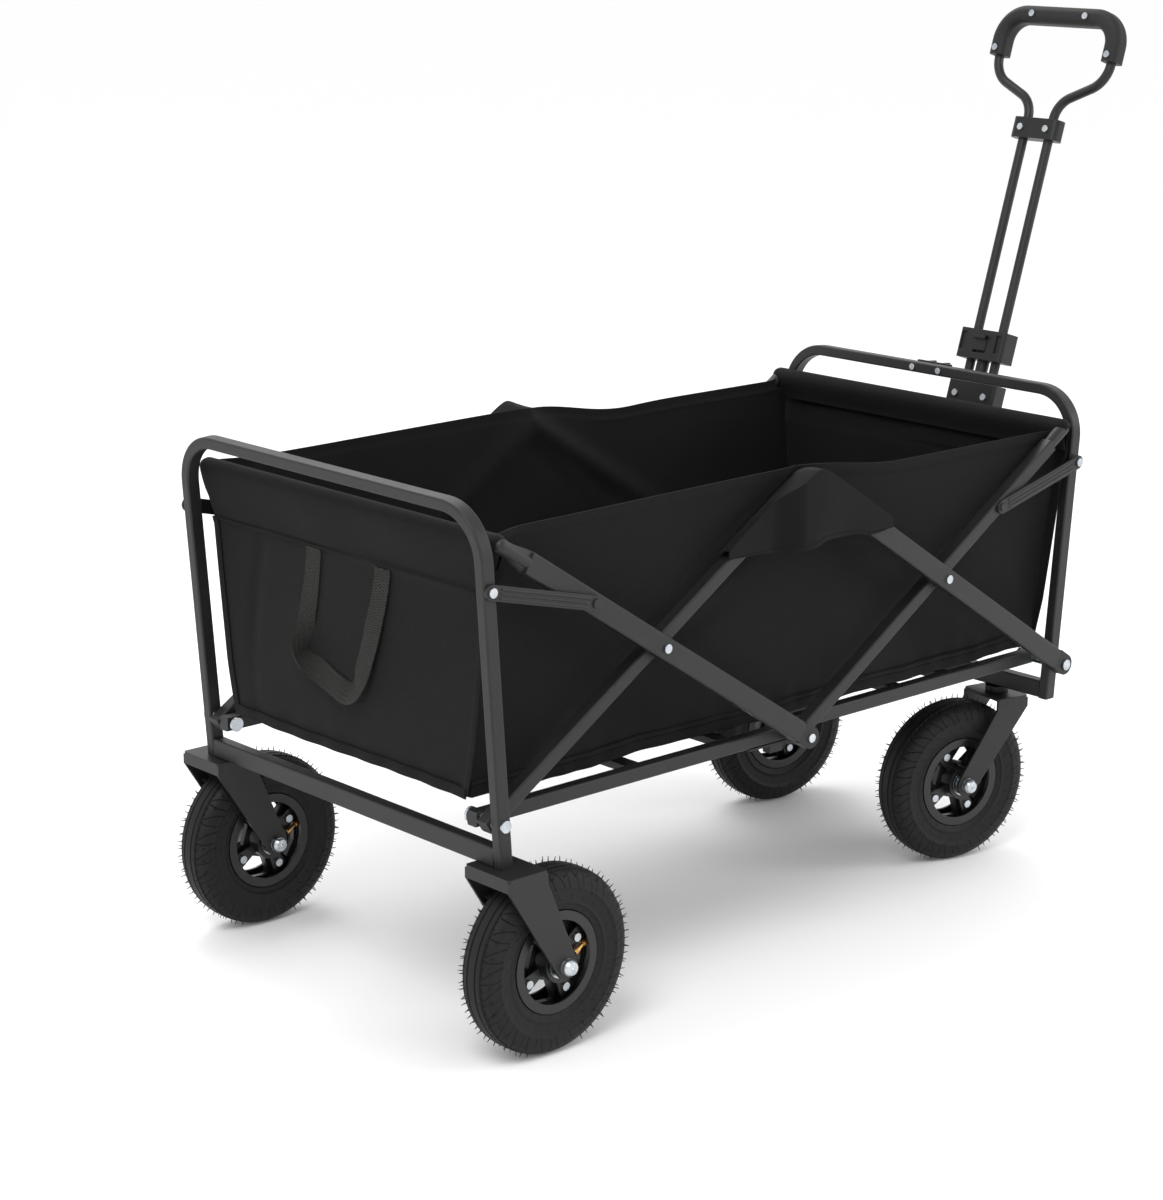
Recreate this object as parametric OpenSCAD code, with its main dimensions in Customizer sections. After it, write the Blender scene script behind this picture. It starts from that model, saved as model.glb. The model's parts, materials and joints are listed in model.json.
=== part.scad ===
// Folding utility wagon with a telescopic pull handle.
// +X points forwards to the handle, +Y to the left, +Z up. Millimetres.
// The origin is on the floor, under the middle of the whole wagon.

/* [Frame] */
// distance between the lower pivots of the two end frames
base_len = 892; // [760:1:1000]
// width of the rear frame over its post centres
rear_w = 494; // [440:1:560]
// how much narrower the front frame is than the rear one, over the posts
front_inset = 36; // [30:1:60]
// height of the top bars above the floor
frame_h = 587; // [540:1:660]
// height of the lower pivots above the floor
pivot_h = 257; // [250:1:280]
// height of the upper scissor nodes above the floor
node_h = 543; // [500:1:560]
// outward lean of the end frames in degrees
frame_lean = 4.5; // [0:0.5:6]
// post tube size along X
post_x = 16; // [14:0.5:20]
// post tube size across the frame
post_y = 13; // [12:0.5:16]
// bend radius of the posts into the top bar
bend_r = 52; // [40:1:70]
// height of the lower cross tubes
cross_h = 21; // [18:0.5:26]
// wall of every steel tube
wall = 1.5; // [1:0.1:2]

/* [Scissor bars] */
// side of the square inner bars
bar_s = 16; // [14:0.5:18]
// height of the flat outer bars
flat_h = 24; // [20:0.5:28]
// thickness of the flat outer bars
flat_t = 12; // [10:0.5:14]
// diameter of the hoop tubes in the hems
hoop_d = 16; // [14:0.5:18]
// gap between neighbouring layers of bars
layer_gap = 2; // [1.5:0.1:3]
// where the links meet the hoops, from the scissor pin
link_at = 124; // [110:1:135]
// height of the link pins on the posts above the lower pivots
link_post = 245; // [230:1:255]
// thickness of the ribbed links
link_t = 3; // [2.5:0.1:3.5]

/* [Base] */
// height of the base rails
rail_h = 16; // [14:0.5:17]
// thickness of the base rails
rail_t = 15; // [12:0.5:15]
// depth of the cross rungs
rung_h = 10; // [8:0.5:12]

/* [Wheels] */
// wheel diameter over the tread
wheel_d = 200; // [180:1:205]
// tyre width
tyre_w = 46; // [40:1:50]
// seat diameter between rim and tyre
rim_d = 110; // [100:1:120]
// rim width over the lips
rim_w = 38; // [32:1:42]
// bearing outer diameter
bearing_d = 30; // [26:0.5:34]
// axle diameter
axle_d = 10; // [8:0.5:12]
// how far the rear axles sit ahead of the lower pivots
rear_axle_x = 60; // [50:1:70]
// gauge of the fork sheet
fork_t = 3; // [2.5:0.1:4]
// free gap between tyre and fork leg on each side
fork_gap = 8; // [6:0.5:10]

/* [Casters] */
// distance of the swivel axes from the middle
caster_y = 152; // [140:1:165]
// trail of the caster wheels behind the swivel axis
caster_trail = 66; // [60:1:75]
// resting turn of the right and left caster in degrees
caster_turn = [-12, -9]; // [-20:1:20]
// diameter of the swivel bearing cup
cup_d = 28; // [24:1:34]
// height of the swivel bearing cup
cup_h = 8; // [6:0.5:10]

/* [Handle] */
// height of the handle pivot above the floor
handle_z = 235; // [232:1:240]
// distance of the handle pivot ahead of the lower front pivots
handle_x = 25; // [24:1:30]
// forward lean of the resting handle in degrees
handle_lean = 17; // [10:1:25]
// diameter of the stem
stem_d = 16; // [14:0.5:18]
// diameter of the rods and the loop
rod_d = 12; // [10:0.5:12]
// distance of the rods from the middle
rod_y = 20; // [19:0.5:21]
// distance from the pivot to the middle of the grip
handle_len = 802; // [760:1:840]
// width of the loop over its tube centres
loop_w = 177; // [150:1:190]
// height of the latch block above the pivot
latch_s = 359; // [357:1:365]
// height of the slider block above the pivot
slider_s = 296; // [280:1:298]
// thickness of the grip over both shells
grip_t = 26; // [22:0.5:30]

/* [Tub] */
// half width of the tub at the floor
tub_low_y = 199; // [180:1:199]
// half width of the tub at the hem
tub_top_y = 216; // [200:1:216]
// height of the tub floor above the ground
tub_z = 271; // [268:0.5:280]
// thickness of the fabric walls
cloth = 3; // [2:0.1:4]

/* [Fits] */
// radial play of a turning pin in its hole
pin_play = 0.06; // [0.02:0.01:0.09]
// radial play of the wheel bearings on the axles
axle_play = 0.03; // [0.02:0.01:0.06]
// radial play of the sliding rods and stem
slide_play = 0.08; // [0.05:0.01:0.09]

/* [Hidden] */
$fn = 48;
slit = 0.5;
hoop_in = 1.3;
// the dressed weld in each hoop corner stands this much proud, over its diameter
weld_d = 0.2;
bead_gap = 0.02;
half = base_len / 2;
rise = node_h - pivot_h;
bar_a = atan2(rise, half);
bar_len = sqrt(half * half + rise * rise);
mid_z = pivot_h + rise / 2;
tyre_r = wheel_d / 2;

// layers of bars, measured outwards from the middle
in_lo = rear_w / 2 - post_y / 2 - layer_gap - bar_s;
in_hi = in_lo + bar_s;
in_mid = in_lo + bar_s / 2;
out_lo = in_hi + layer_gap;
out_hi = out_lo + flat_t;
out_mid = out_lo + flat_t / 2;
front_w = rear_w - front_inset;
post_r = rear_w / 2;
post_f = front_w / 2;
post_ri = post_r - post_y / 2;
post_ro = post_r + post_y / 2;
post_fi = post_f - post_y / 2;
post_fo = post_f + post_y / 2;
pin_r = 3;
pivot_r = 4;
link_r = 2.5;
head_r = 5;
rail_hi = in_lo - 1.5;
rail_lo = rail_hi - rail_t;
rail2_hi = rail_lo - 1.5;
rail2_lo = rail2_hi - rail_t;
end_play = 7;

// lower cross tubes and the plate under the rear posts
cross_z = pivot_h - 46 + cross_h / 2;
foot_z = pivot_h - 46;
cross_dx = (pivot_h - cross_z) * tan(frame_lean);
foot_dx = (pivot_h - foot_z) * tan(frame_lean);

// wheels and forks
fork_in = tyre_w / 2 + fork_gap;
fork_out = fork_in + fork_t;
hub_w = 2 * fork_in - 2;
rear_x = -half + rear_axle_x;
caster_x = half - cross_dx;
plate_z = foot_z - cup_h;

// handle
piv_x = half + handle_x;
loop_y = loop_w / 2;
arc_a = 65;
arc_1 = 32;
arc_2 = 36;
arc_3 = 34;
grip_leg = 20;
loop_run = (loop_y - rod_y - (arc_1 + arc_2) * (1 - cos(arc_a))) / sin(arc_a);
loop_s3 = handle_len - arc_3;
loop_s2 = loop_s3 - grip_leg - 1;
loop_s1 = loop_s2 - (arc_1 + arc_2) * sin(arc_a) - loop_run * cos(arc_a);
clamp_s = loop_s1 - 14;
block_w = 73;
block_d = 30;
block_h = 38;
slider_w = 76;
slider_d = 26;
slider_h = 34;

// links
la_x = -half / 2 - link_at * cos(bar_a);
la_z = mid_z + link_at * sin(bar_a);
lp_x = -half - link_post * sin(frame_lean);
lp_z = pivot_h + link_post * cos(frame_lean);
link_len = sqrt(pow(la_x - lp_x, 2) + pow(la_z - lp_z, 2));
link_a = atan2(la_z - lp_z, la_x - lp_x);
fl_lo = in_hi + slit;
floor_y = tub_low_y - cloth - slit;

// the wagon's middle is moved so that the origin is under the middle of the whole
x_back = rear_x - tyre_r;
x_fore = piv_x + handle_len * sin(handle_lean) + grip_t / 2;
xm = -(x_back + x_fore) / 2;

steel = [0.27, 0.27, 0.26];
black = [0.1, 0.1, 0.1];
rubber = [0.14, 0.14, 0.14];
fabric = [0.11, 0.11, 0.12];
zinc = [0.75, 0.76, 0.78];

module rear_frame_tube() {
  color(steel) at_rear() difference() {
    frame_u(rear_w);
    for (s = [-1, 1]) {
      y_hole(0, s * post_r, 0, pivot_r, post_y + 2);
      y_hole(0, s * (post_r + post_y / 4), link_post, link_r, post_y / 2 + 2);
    }
  }
}

module front_frame_tube() {
  color(steel) at_front() difference() {
    frame_u(front_w);
    for (s = [-1, 1]) {
      y_hole(0, s * post_f, 0, pivot_r, post_y + 2);
      y_hole(0, s * (post_f + post_y / 4), link_post, link_r, post_y / 2 + 2);
    }
    for (s = [-1, 1]) x_hole(0, s * 21, frame_top() - post_y / 2, 2, post_x + 2);
  }
}

module rear_cross_tube() {
  color(steel) at_mid() translate([-half + cross_dx, 0, cross_z])
    y_tube(2 * post_ri, post_x - 1, cross_h);
}

module front_cross_tube() {
  color(steel) at_mid() translate([half - cross_dx, 0, cross_z]) difference() {
    y_tube(2 * post_fi, post_x - 1, cross_h);
    for (s = [-1, 1]) translate([0, s * caster_y, -cross_h]) cylinder(r = 6, h = 2 * cross_h);
  }
}

// pivot bolts, link rivets and their washers on the rear posts
module rear_frame_pins() {
  color(zinc) at_mid() both() {
    pin_y(-half, pivot_h, rail_lo - 3, post_ro, pivot_r, 8, 3, 6.5, 2.6);
    washer(-half, pivot_h, rail_hi + 0.2, in_lo - 0.2, 7, pivot_r);
    washer(-half, pivot_h, in_hi + 0.2, post_ri, 7, pivot_r);
    pin_y(lp_x, lp_z, post_ro - 5, post_ro + slit + link_t + 0.3, link_r, link_r, 1, head_r, 2.2);
  }
}

module front_frame_pins() {
  color(zinc) at_mid() both() {
    pin_y(half, pivot_h, rail2_lo - 3, out_hi + 0.3, pivot_r, 8, 3, 6.5, 2.4);
    washer(half, pivot_h, rail2_hi + 0.2, post_fi, 7, pivot_r);
    washer(half, pivot_h, post_fo, out_lo - 0.2, 7, pivot_r);
    pin_y(-lp_x, lp_z, post_fo - 5, fl_lo + link_t + 0.3, link_r, link_r, 1, head_r, 2.2);
    washer(-lp_x, lp_z, post_fo, fl_lo - 0.2, 6, link_r);
  }
  color(zinc) at_front() for (s = [-1, 1])
    translate([-post_x / 2, s * 21, frame_top() - post_y / 2]) rotate([0, 90, 0]) {
      translate([0, 0, -1.6]) cylinder(r = 4, h = 1.6);
      cylinder(r = 2, h = post_x);
    }
}

// square bars from the rear posts up to the middle nodes
module rear_bar(s) {
  color(steel) at_mid() translate([-half, s * in_mid, pivot_h]) rotate([0, -bar_a, 0]) difference() {
    bar_x(-9, bar_len + 5, bar_s, bar_s);
    y_hole(0, 0, 0, pivot_r + pin_play, bar_s + 2);
    y_hole(bar_len / 2, 0, 0, pin_r, bar_s + 2);
    y_hole(bar_len, 0, 0, pin_r, bar_s + 2);
  }
}

// flat bars from the middle nodes down to the front posts
module front_bar(s) {
  color(steel) at_mid() translate([0, s * out_mid, node_h]) rotate([0, bar_a, 0]) difference() {
    bar_x(-5, bar_len - 16, flat_t, flat_h);
    y_hole(0, 0, 0, pin_r + pin_play, flat_t + 2);
    y_hole(bar_len / 2, 0, 0, pin_r, flat_t + 2);
  }
}

module front_bar_caps() {
  color(black) at_mid() for (s = [-1, 1])
    translate([0, s * out_mid, node_h]) rotate([0, bar_a, 0])
      end_cap(bar_len, pivot_r + pin_play);
}

// rivets carried by the rear bars: the scissor pins and the upper middle nodes
module rear_bar_pins() {
  color(zinc) at_mid() both() {
    pin_y(-half / 2, mid_z, in_lo, out_hi + 0.2, pin_r, head_r, 1.5, head_r, 2.2);
    washer(-half / 2, mid_z, in_hi, out_lo - 0.3, 6, pin_r);
    pin_y(0, node_h, in_lo, out_hi + 0.2, pin_r, head_r, 1.5, head_r, 2.2);
    washer(0, node_h, in_hi, out_lo - 0.3, 6, pin_r);
  }
}

// flat side bars and the hem tube behind, one bent piece
module rear_hoop_tube() {
  color(steel) at_mid() difference() {
    union() {
      for (s = [-1, 1]) translate([0, s * out_mid, pivot_h]) rotate([0, bar_a, 0]) {
        bar_x(-bar_len + 40, -16, flat_t, flat_h);
        translate([-bar_len, -s * hoop_in, 0]) rotate([0, 90, 0]) cylinder(d = hoop_d, h = 42);
      }
      hoop_cross(-half, out_mid - hoop_in);
    }
    for (s = [-1, 1]) y_hole(-half / 2, s * out_mid, mid_z, pin_r + pin_play, flat_t + 2);
  }
}

module rear_hoop_caps() {
  color(black) at_mid() for (s = [-1, 1])
    translate([0, s * out_mid, pivot_h]) rotate([0, bar_a, 0])
      end_cap(0, pin_r);
}

module rear_hoop_pins() {
  color(zinc) at_mid() both()
    pin_y(0, pivot_h, in_lo - 0.3, out_hi, pin_r, head_r, 1.5, head_r, 2.2);
}

module front_bar_pins() {
  color(zinc) at_mid() both() {
    pin_y(half / 2, mid_z, in_lo - 0.3, out_hi, pin_r, head_r, 1.5, head_r, 2.2);
    washer(half / 2, mid_z, in_hi + 0.3, out_lo, 6, pin_r);
  }
}

// square side bars and the hem tube in front, one bent piece
module front_hoop_tube() {
  color(steel) at_mid() difference() {
    union() {
      for (s = [-1, 1]) translate([0, s * in_mid, pivot_h]) rotate([0, -bar_a, 0]) {
        bar_x(-9, bar_len - 30, bar_s, bar_s);
        translate([bar_len - 32, 0, 0]) rotate([0, 90, 0]) cylinder(d = hoop_d, h = 32);
      }
      hoop_cross(half, in_mid);
    }
    for (s = [-1, 1]) {
      y_hole(0, s * in_mid, pivot_h, pin_r + pin_play, bar_s + 2);
      y_hole(half / 2, s * in_mid, mid_z, pin_r + pin_play, bar_s + 2);
    }
  }
}

module rear_links() {
  color(steel) at_mid() both() translate([lp_x, post_ro + slit, lp_z]) rotate([0, -link_a, 0]) {
    ribbed_link(link_r + pin_play);
    color(zinc) translate([link_len, link_t, 0]) rotate([-90, 0, 0]) cylinder(r = head_r, h = 2);
  }
}

module front_links() {
  color(steel) at_mid() both() translate([-lp_x, fl_lo, lp_z]) mirror([1, 0, 0]) rotate([0, -link_a, 0]) {
    ribbed_link(link_r + pin_play);
    color(zinc) translate([link_len, link_t, 0]) rotate([-90, 0, 0]) cylinder(r = head_r, h = 2);
  }
}

module base_rear_frame() {
  color(steel) at_mid() {
    both() translate([-half, rail_lo, pivot_h]) difference() {
      translate([-9, 0, 0]) rail(half - end_play + 9, rail_t);
      y_hole(0, rail_t / 2, 0, pivot_r + pin_play, rail_t + 2);
    }
    for (x = [-0.495, -0.188]) translate([x * half, 0, pivot_h]) y_tube(2 * rail_lo, 18, rung_h);
  }
}

module base_front_frame() {
  color(steel) at_mid() {
    both() translate([half, rail2_lo, pivot_h]) difference() {
      translate([-half + end_play, 0, 0]) rail(half - end_play + 9, rail_t);
      y_hole(0, rail_t / 2, 0, pivot_r + pin_play, rail_t + 2);
    }
    for (x = [0.482, 0.675]) translate([x * half, 0, pivot_h]) y_tube(2 * rail2_lo, 18, rung_h);
  }
}

// plates hanging under the rear half of the base, with the bolt of the middle hinge
module base_hinge_plates() {
  color(black) at_mid() both() {
    translate([-64, rail_lo, pivot_h - rail_h / 2 - 2.5]) cube([58, rail_t, 2.5]);
    translate([-30, rail_lo + 2, pivot_h - rail_h / 2 - 12]) cube([20, rail_t - 4, 9.5]);
  }
}

module rear_fork(s) {
  color(steel) at_mid() translate([-half + foot_dx, s * post_r, foot_z])
    fork(rear_axle_x - foot_dx, foot_z - tyre_r, 22, 30);
}

module caster_cups() {
  color(black) at_mid() both() translate([caster_x, caster_y, plate_z + 0.3]) difference() {
    cylinder(d = cup_d, h = cup_h - 0.3);
    translate([0, 0, -1]) cylinder(r = 6, h = cup_h + 2);
  }
}

module caster_fork(s) {
  color(steel) at_caster(s) {
    translate([0, 0, plate_z]) fork(-caster_trail, plate_z - tyre_r, 24, 22);
    translate([0, 0, plate_z - fork_t]) cylinder(r = 6 - pin_play, h = fork_t + cup_h + cross_h - wall);
  }
}

module wheel_axle() {
  color(zinc) y_rod(axle_d / 2, -fork_out, fork_out);
  for (m = [0, 1]) mirror([0, m, 0]) {
    color(zinc) y_rod(9, fork_out, fork_out + 1.6);
    color(zinc) translate([0, fork_out + 1.6, 0]) rotate([-90, 0, 0]) cylinder(r = 8, h = 6, $fn = 6);
    color(steel) difference() {
      y_rod(9, bearing_face(), fork_in);
      y_rod(axle_d / 2, 0, fork_in + 1);
    }
  }
}

module tyre() {
  color(rubber) rotate([90, 0, 0]) rotate_extrude($fn = 96) difference() {
    translate([(tyre_r + rim_d / 2) / 2, 0]) rr(tyre_r - rim_d / 2, tyre_w, 15);
    translate([(tyre_r + rim_d / 2) / 2, 0]) rr(tyre_r - rim_d / 2 - 14, tyre_w - 13, 10);
    translate([rim_d / 2, 0]) square([16, tyre_w - 22], center = true);
  }
}

module rim() {
  color(black) rotate([90, 0, 0]) difference() {
    union() {
      rotate_extrude($fn = 96) {
        translate([rim_d / 2 - 4, -rim_w / 2]) square([4, rim_w]);
        for (s = [-1, 1]) translate([rim_d / 2 - 5, s * (rim_w / 2 - 1.5)]) square([10, 3], center = true);
        translate([bearing_d / 2, -hub_half()]) square([5, 2 * hub_half()]);
        translate([bearing_d / 2 - 3, -hub_half() + 9]) square([5, 2 * hub_half() - 18]);
        translate([bearing_d / 2 + 3, -3]) square([rim_d / 2 - bearing_d / 2 - 5, 6]);
      }
      for (a = [0 : 90 : 270]) rotate([0, 0, a + 28]) linear_extrude(22, center = true)
        polygon([[17, -5], [rim_d / 2 - 3, -11], [rim_d / 2 - 3, 11], [17, 5]]);
    }
    for (a = [0 : 90 : 270]) rotate([0, 0, a + 73]) linear_extrude(20, center = true)
      polygon([[23, -12], [rim_d / 2 - 12, -20], [rim_d / 2 - 7, 0], [rim_d / 2 - 12, 20], [23, 12]]);
    for (a = [0 : 90 : 270]) rotate([0, 0, a + 28]) translate([37, 0, -20]) cylinder(r = 3, h = 40);
    cylinder(r = axle_d / 2 + 2, h = 80, center = true);
  }
}

module hub_parts() {
  color(zinc) rotate([90, 0, 0]) {
    for (a = [0 : 90 : 270]) rotate([0, 0, a + 28]) translate([37, 0, 0]) {
      cylinder(r = 3, h = 22, center = true);
      for (m = [0, 1]) mirror([0, 0, m]) translate([0, 0, 11]) cylinder(r = 4.6, h = 3.2);
    }
    for (s = [-1, 1]) translate([0, 0, s * (hub_half() - 4.5)]) difference() {
      cylinder(d = bearing_d, h = 9, center = true);
      cylinder(r = axle_d / 2 + axle_play, h = 20, center = true);
    }
  }
}

module wheel_node(place, what) {
  at_mid() place_wheel(place) {
    if (what == "tyre") tyre();
    if (what == "rim") rim();
    if (what == "hub") hub_parts();
    if (what == "axle") wheel_axle();
  }
}

// bracket of the handle pivot under the front bar, and the clip on the bar
module handle_mounts() {
  color(steel) at_mid() {
    both() translate([0, stem_d / 2 + 1.5, 0]) rotate([-90, 0, 0]) linear_extrude(3) difference() {
      union() {
        translate([piv_x, -handle_z]) circle(r = 11);
        translate([half - cross_dx + post_x / 2 - 0.5, -handle_z - 11]) square([piv_x - half + cross_dx - 7.5, 22]);
      }
      translate([piv_x, -handle_z]) circle(r = pivot_r);
    }
    translate([piv_x, 0, handle_z]) {
      y_rod(pivot_r, -stem_d / 2 - 4.5, stem_d / 2 + 4.5);
      for (m = [0, 1]) mirror([0, m, 0]) y_rod(6.5, stem_d / 2 + 4.5, stem_d / 2 + 7);
    }
    translate([half - cross_dx + post_x / 2 - 0.5, -stem_d / 2 - 4.5, handle_z - 11]) cube([3, stem_d + 9, 22]);
  }
  color(black) at_front() translate([post_x / 2, 0, frame_top() - post_y / 2]) {
    translate([0, -27, -7]) cube([3, 54, 15]);
    both() translate([0, 9.2, -7]) cube([16, 3.8, 15]);
  }
}

module handle_stem() {
  color(steel) at_handle() difference() {
    tube_z(-10, latch_s + block_h - 6, stem_d, wall);
    y_hole(0, 0, 0, pivot_r + pin_play, stem_d + 2);
  }
}

module latch_block() {
  color(black) at_handle() translate([0, 0, latch_s]) difference() {
    linear_extrude(block_h) rr(block_d, block_w, 6);
    translate([0, 0, -1]) cylinder(d = stem_d, h = block_h - 6 + 1);
    for (s = [-1, 1]) translate([0, s * rod_y, -1]) cylinder(r = rod_d / 2 + slide_play, h = block_h + 2);
    translate([-block_d / 2 - 1, -10, 8]) cube([5, 20, 23]);
    for (s = [-1, 1]) translate([-block_d / 2 - 1, s * 27.5 - 4, 10]) cube([3, 8, 23]);
  }
}

module latch_lever() {
  color(black) at_handle() translate([-block_d / 2 + 1.5, 0, latch_s + 12]) {
    translate([-2.3, -9.6, 0]) cube([3.6, 19.2, 18.6]);
    translate([-7, -9.6, 14]) cube([5, 19.2, 4.6]);
    y_rod(2, -9.6, 9.6);
  }
}

module slider_block() {
  color(black) at_handle() translate([0, 0, slider_s]) difference() {
    linear_extrude(slider_h) rr(slider_d, slider_w, 5);
    translate([0, 0, -1]) cylinder(r = stem_d / 2 + slide_play, h = slider_h + 2);
    for (s = [-1, 1]) translate([0, s * rod_y, 4]) cylinder(d = rod_d, h = slider_h);
    translate([-20, 22, -1]) cube([40, 30, 9]);
  }
}

// both rods and the loop are one bent tube, its bends joined by weld beads
module handle_loop() {
  arc_y = rod_y + arc_1 * (1 - cos(arc_a));
  arc_z = loop_s1 + arc_1 * sin(arc_a);
  color(steel) at_handle() {
    both() {
      translate([0, rod_y, slider_s + 4]) cylinder(d = rod_d, h = loop_s1 - slider_s - 4 - bead_gap);
      bead(rod_y, loop_s1, 0);
      loop_arc(rod_y + arc_1, loop_s1, arc_1, 180 - arc_a, arc_a);
      bead(arc_y, arc_z, arc_a);
      translate([0, arc_y, arc_z]) rotate([-arc_a, 0, 0])
        translate([0, 0, bead_gap]) cylinder(d = rod_d, h = loop_run - 2 * bead_gap);
      bead(arc_y + loop_run * sin(arc_a), arc_z + loop_run * cos(arc_a), arc_a);
      loop_arc(loop_y - arc_2, loop_s2, arc_2, -arc_a, arc_a);
      bead(loop_y, loop_s2, 0);
      translate([0, loop_y, loop_s2 + bead_gap]) cylinder(d = rod_d, h = loop_s3 - loop_s2 - bead_gap);
      loop_arc(loop_y - arc_3, loop_s3, arc_3, 0, 90);
    }
    translate([0, 0, handle_len]) y_rod(rod_d / 2, -loop_y + arc_3, loop_y - arc_3);
  }
}

module bead(y, z, a) translate([0, y, z]) rotate([-a, 0, 0])
  cylinder(r = rod_d / 2 + 0.06, h = 1.6, center = true);

module loop_clamp() {
  color(black) at_handle() translate([0, 0, clamp_s]) difference() {
    translate([0, 0, -13]) linear_extrude(26) rr(22, 72, 9);
    for (s = [-1, 1]) translate([0, s * rod_y, -20]) cylinder(d = rod_d, h = 40);
  }
}

module grip_sweep() {
  both() {
    translate([0, loop_y, loop_s3 - grip_leg]) linear_extrude(grip_leg) rr(grip_t, 23, 9);
    translate([0, loop_y - arc_3, loop_s3]) rotate([90, 0, 90])
      rotate_extrude(angle = 90) translate([arc_3, 0]) rr(23, grip_t, 9);
  }
  translate([0, loop_y - arc_3, handle_len]) rotate([90, 0, 0])
    linear_extrude(2 * (loop_y - arc_3)) rr(grip_t, 23, 9);
}

module grip_shell(s) {
  color(black) at_handle() difference() {
    grip_sweep();
    both() {
      translate([0, loop_y, loop_s3 - 30]) cylinder(d = rod_d, h = 30);
      loop_arc(loop_y - arc_3, loop_s3, arc_3, 0, 90);
    }
    translate([0, 0, handle_len]) y_rod(rod_d / 2, -loop_y + arc_3, loop_y - arc_3);
    translate([s > 0 ? -60 : 0, -150, handle_len - 100]) cube([60, 300, 200]);
  }
}

module handle_screws() {
  color(zinc) at_handle() {
    both() {
      screw_x(42, handle_len, -grip_t / 2);
      screw_x(loop_y, loop_s3 - 12, -grip_t / 2);
      screw_x(rod_y, clamp_s, -11);
      screw_x(23, slider_s + 17, -slider_d / 2);
    }
  }
}

// fabric end panel under a hem tube, wider at the top
module end_panel(x) {
  color(fabric) at_mid() translate([x - cloth / 2, 0, 0]) rotate([90, 0, 90]) linear_extrude(cloth)
    polygon([
      [-tub_low_y, tub_z + 1], [tub_low_y, tub_z + 1],
      [tub_top_y - 1, node_h - hoop_d / 2 - 1], [-tub_top_y + 1, node_h - hoop_d / 2 - 1]
    ]);
}

module side_wall(s) {
  color(fabric) at_mid() translate([-half + cloth + 10, 0, 0]) rotate([90, 0, 90])
    linear_extrude(base_len - 2 * cloth - 20) polygon([
      [s * tub_low_y, tub_z], [s * (tub_low_y - cloth), tub_z],
      [s * (tub_top_y - cloth), node_h + 8], [s * tub_top_y, node_h + 8]
    ]);
}

// the floor is sewn in two halves, and each lies on its half of the base
module tub_floor(s) {
  color(fabric) at_mid() translate([s > 0 ? slit : -half + cloth + 10, -floor_y, tub_z])
    cube([half - cloth - 10 - slit, 2 * floor_y, cloth]);
}

// webbing loop sewn to the rear panel
module webbing_strap() {
  color(black) at_mid() translate([-half - cloth / 2 - slit, 0, 0]) rotate([90, 0, -90]) linear_extrude(2.5)
    difference() {
      polygon([[82, 482], [82, 420], [38, 333], [-2, 333], [-72, 374], [-64, 420], [-64, 482]]);
      polygon([[58, 490], [58, 424], [30, 359], [12, 359], [-44, 388], [-38, 424], [-38, 490]]);
    }
}

// placing

module at_mid() translate([xm, 0, 0]) children();
module both() {
  children();
  mirror([0, 1, 0]) children();
}
module at_rear() at_mid() translate([-half, 0, pivot_h]) rotate([0, -frame_lean, 0]) children();
module at_front() at_mid() translate([half, 0, pivot_h]) rotate([0, frame_lean, 0]) children();
module at_handle() at_mid() translate([piv_x, 0, handle_z]) rotate([0, handle_lean, 0]) children();
module at_caster(s) at_mid() translate([caster_x, s * caster_y, 0])
  rotate([0, 0, s < 0 ? caster_turn[0] : caster_turn[1]]) children();
module place_wheel(p) {
  if (p == "rr") translate([rear_x, -post_r, tyre_r]) children();
  if (p == "rl") translate([rear_x, post_r, tyre_r]) children();
  if (p == "fr") translate([-xm, 0, 0]) at_caster(-1) translate([-caster_trail, 0, tyre_r]) children();
  if (p == "fl") translate([-xm, 0, 0]) at_caster(1) translate([-caster_trail, 0, tyre_r]) children();
}

function frame_top() = (frame_h - pivot_h) / cos(frame_lean);
function hub_half() = fork_in - 6;
function bearing_face() = hub_half() + 0.3;

// shapes

module rr(a, b, r) {
  square([a - 2 * r, b], center = true);
  square([a, b - 2 * r], center = true);
  for (i = [-1, 1], j = [-1, 1]) translate([i * (a / 2 - r), j * (b / 2 - r)]) circle(r = r);
}

module ring_rr(a, b, r) difference() {
  rr(a, b, r);
  rr(a - 2 * wall, b - 2 * wall, max(r - wall, 0.6));
}

// inverted U of the end frames, standing in the YZ plane on its pivot height
module frame_u(w) difference() {
  union() {
    both() {
      translate([0, w / 2, -60]) linear_extrude(frame_top() - bend_r - post_y / 2 + 60)
        ring_rr(post_x, post_y, 2.2);
      translate([0, w / 2 - bend_r, frame_top() - bend_r - post_y / 2]) rotate([90, 0, 90])
        rotate_extrude(angle = 90) translate([bend_r, 0]) ring_rr(post_y, post_x, 2.2);
    }
    translate([0, w / 2 - bend_r, frame_top() - post_y / 2]) rotate([90, 0, 0])
      linear_extrude(w - 2 * bend_r) ring_rr(post_x, post_y, 2.2);
  }
  rotate([0, w > (rear_w + front_w) / 2 ? frame_lean : -frame_lean, 0])
    translate([-100, -w, foot_z - pivot_h - 100]) cube([200, 2 * w, 100]);
}

// closed rectangular tube along Y, centred
module y_tube(l, a, b) rotate([90, 0, 0]) difference() {
  linear_extrude(l, center = true) rr(a, b, 2);
  linear_extrude(l - 2 * wall, center = true) rr(a - 2 * wall, b - 2 * wall, 1);
}

// closed rectangular bar along X from a to b, t across and h tall
module bar_x(a, b, t, h) translate([a, 0, 0]) rotate([90, 0, 90]) difference() {
  linear_extrude(b - a) rr(t, h, 2.4);
  translate([0, 0, wall]) linear_extrude(b - a - 2 * wall) rr(t - 2 * wall, h - 2 * wall, 1);
}

module tube_z(a, b, d, w) translate([0, 0, a]) difference() {
  cylinder(d = d, h = b - a);
  translate([0, 0, w]) cylinder(d = d - 2 * w, h = b - a - 2 * w);
}

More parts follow.
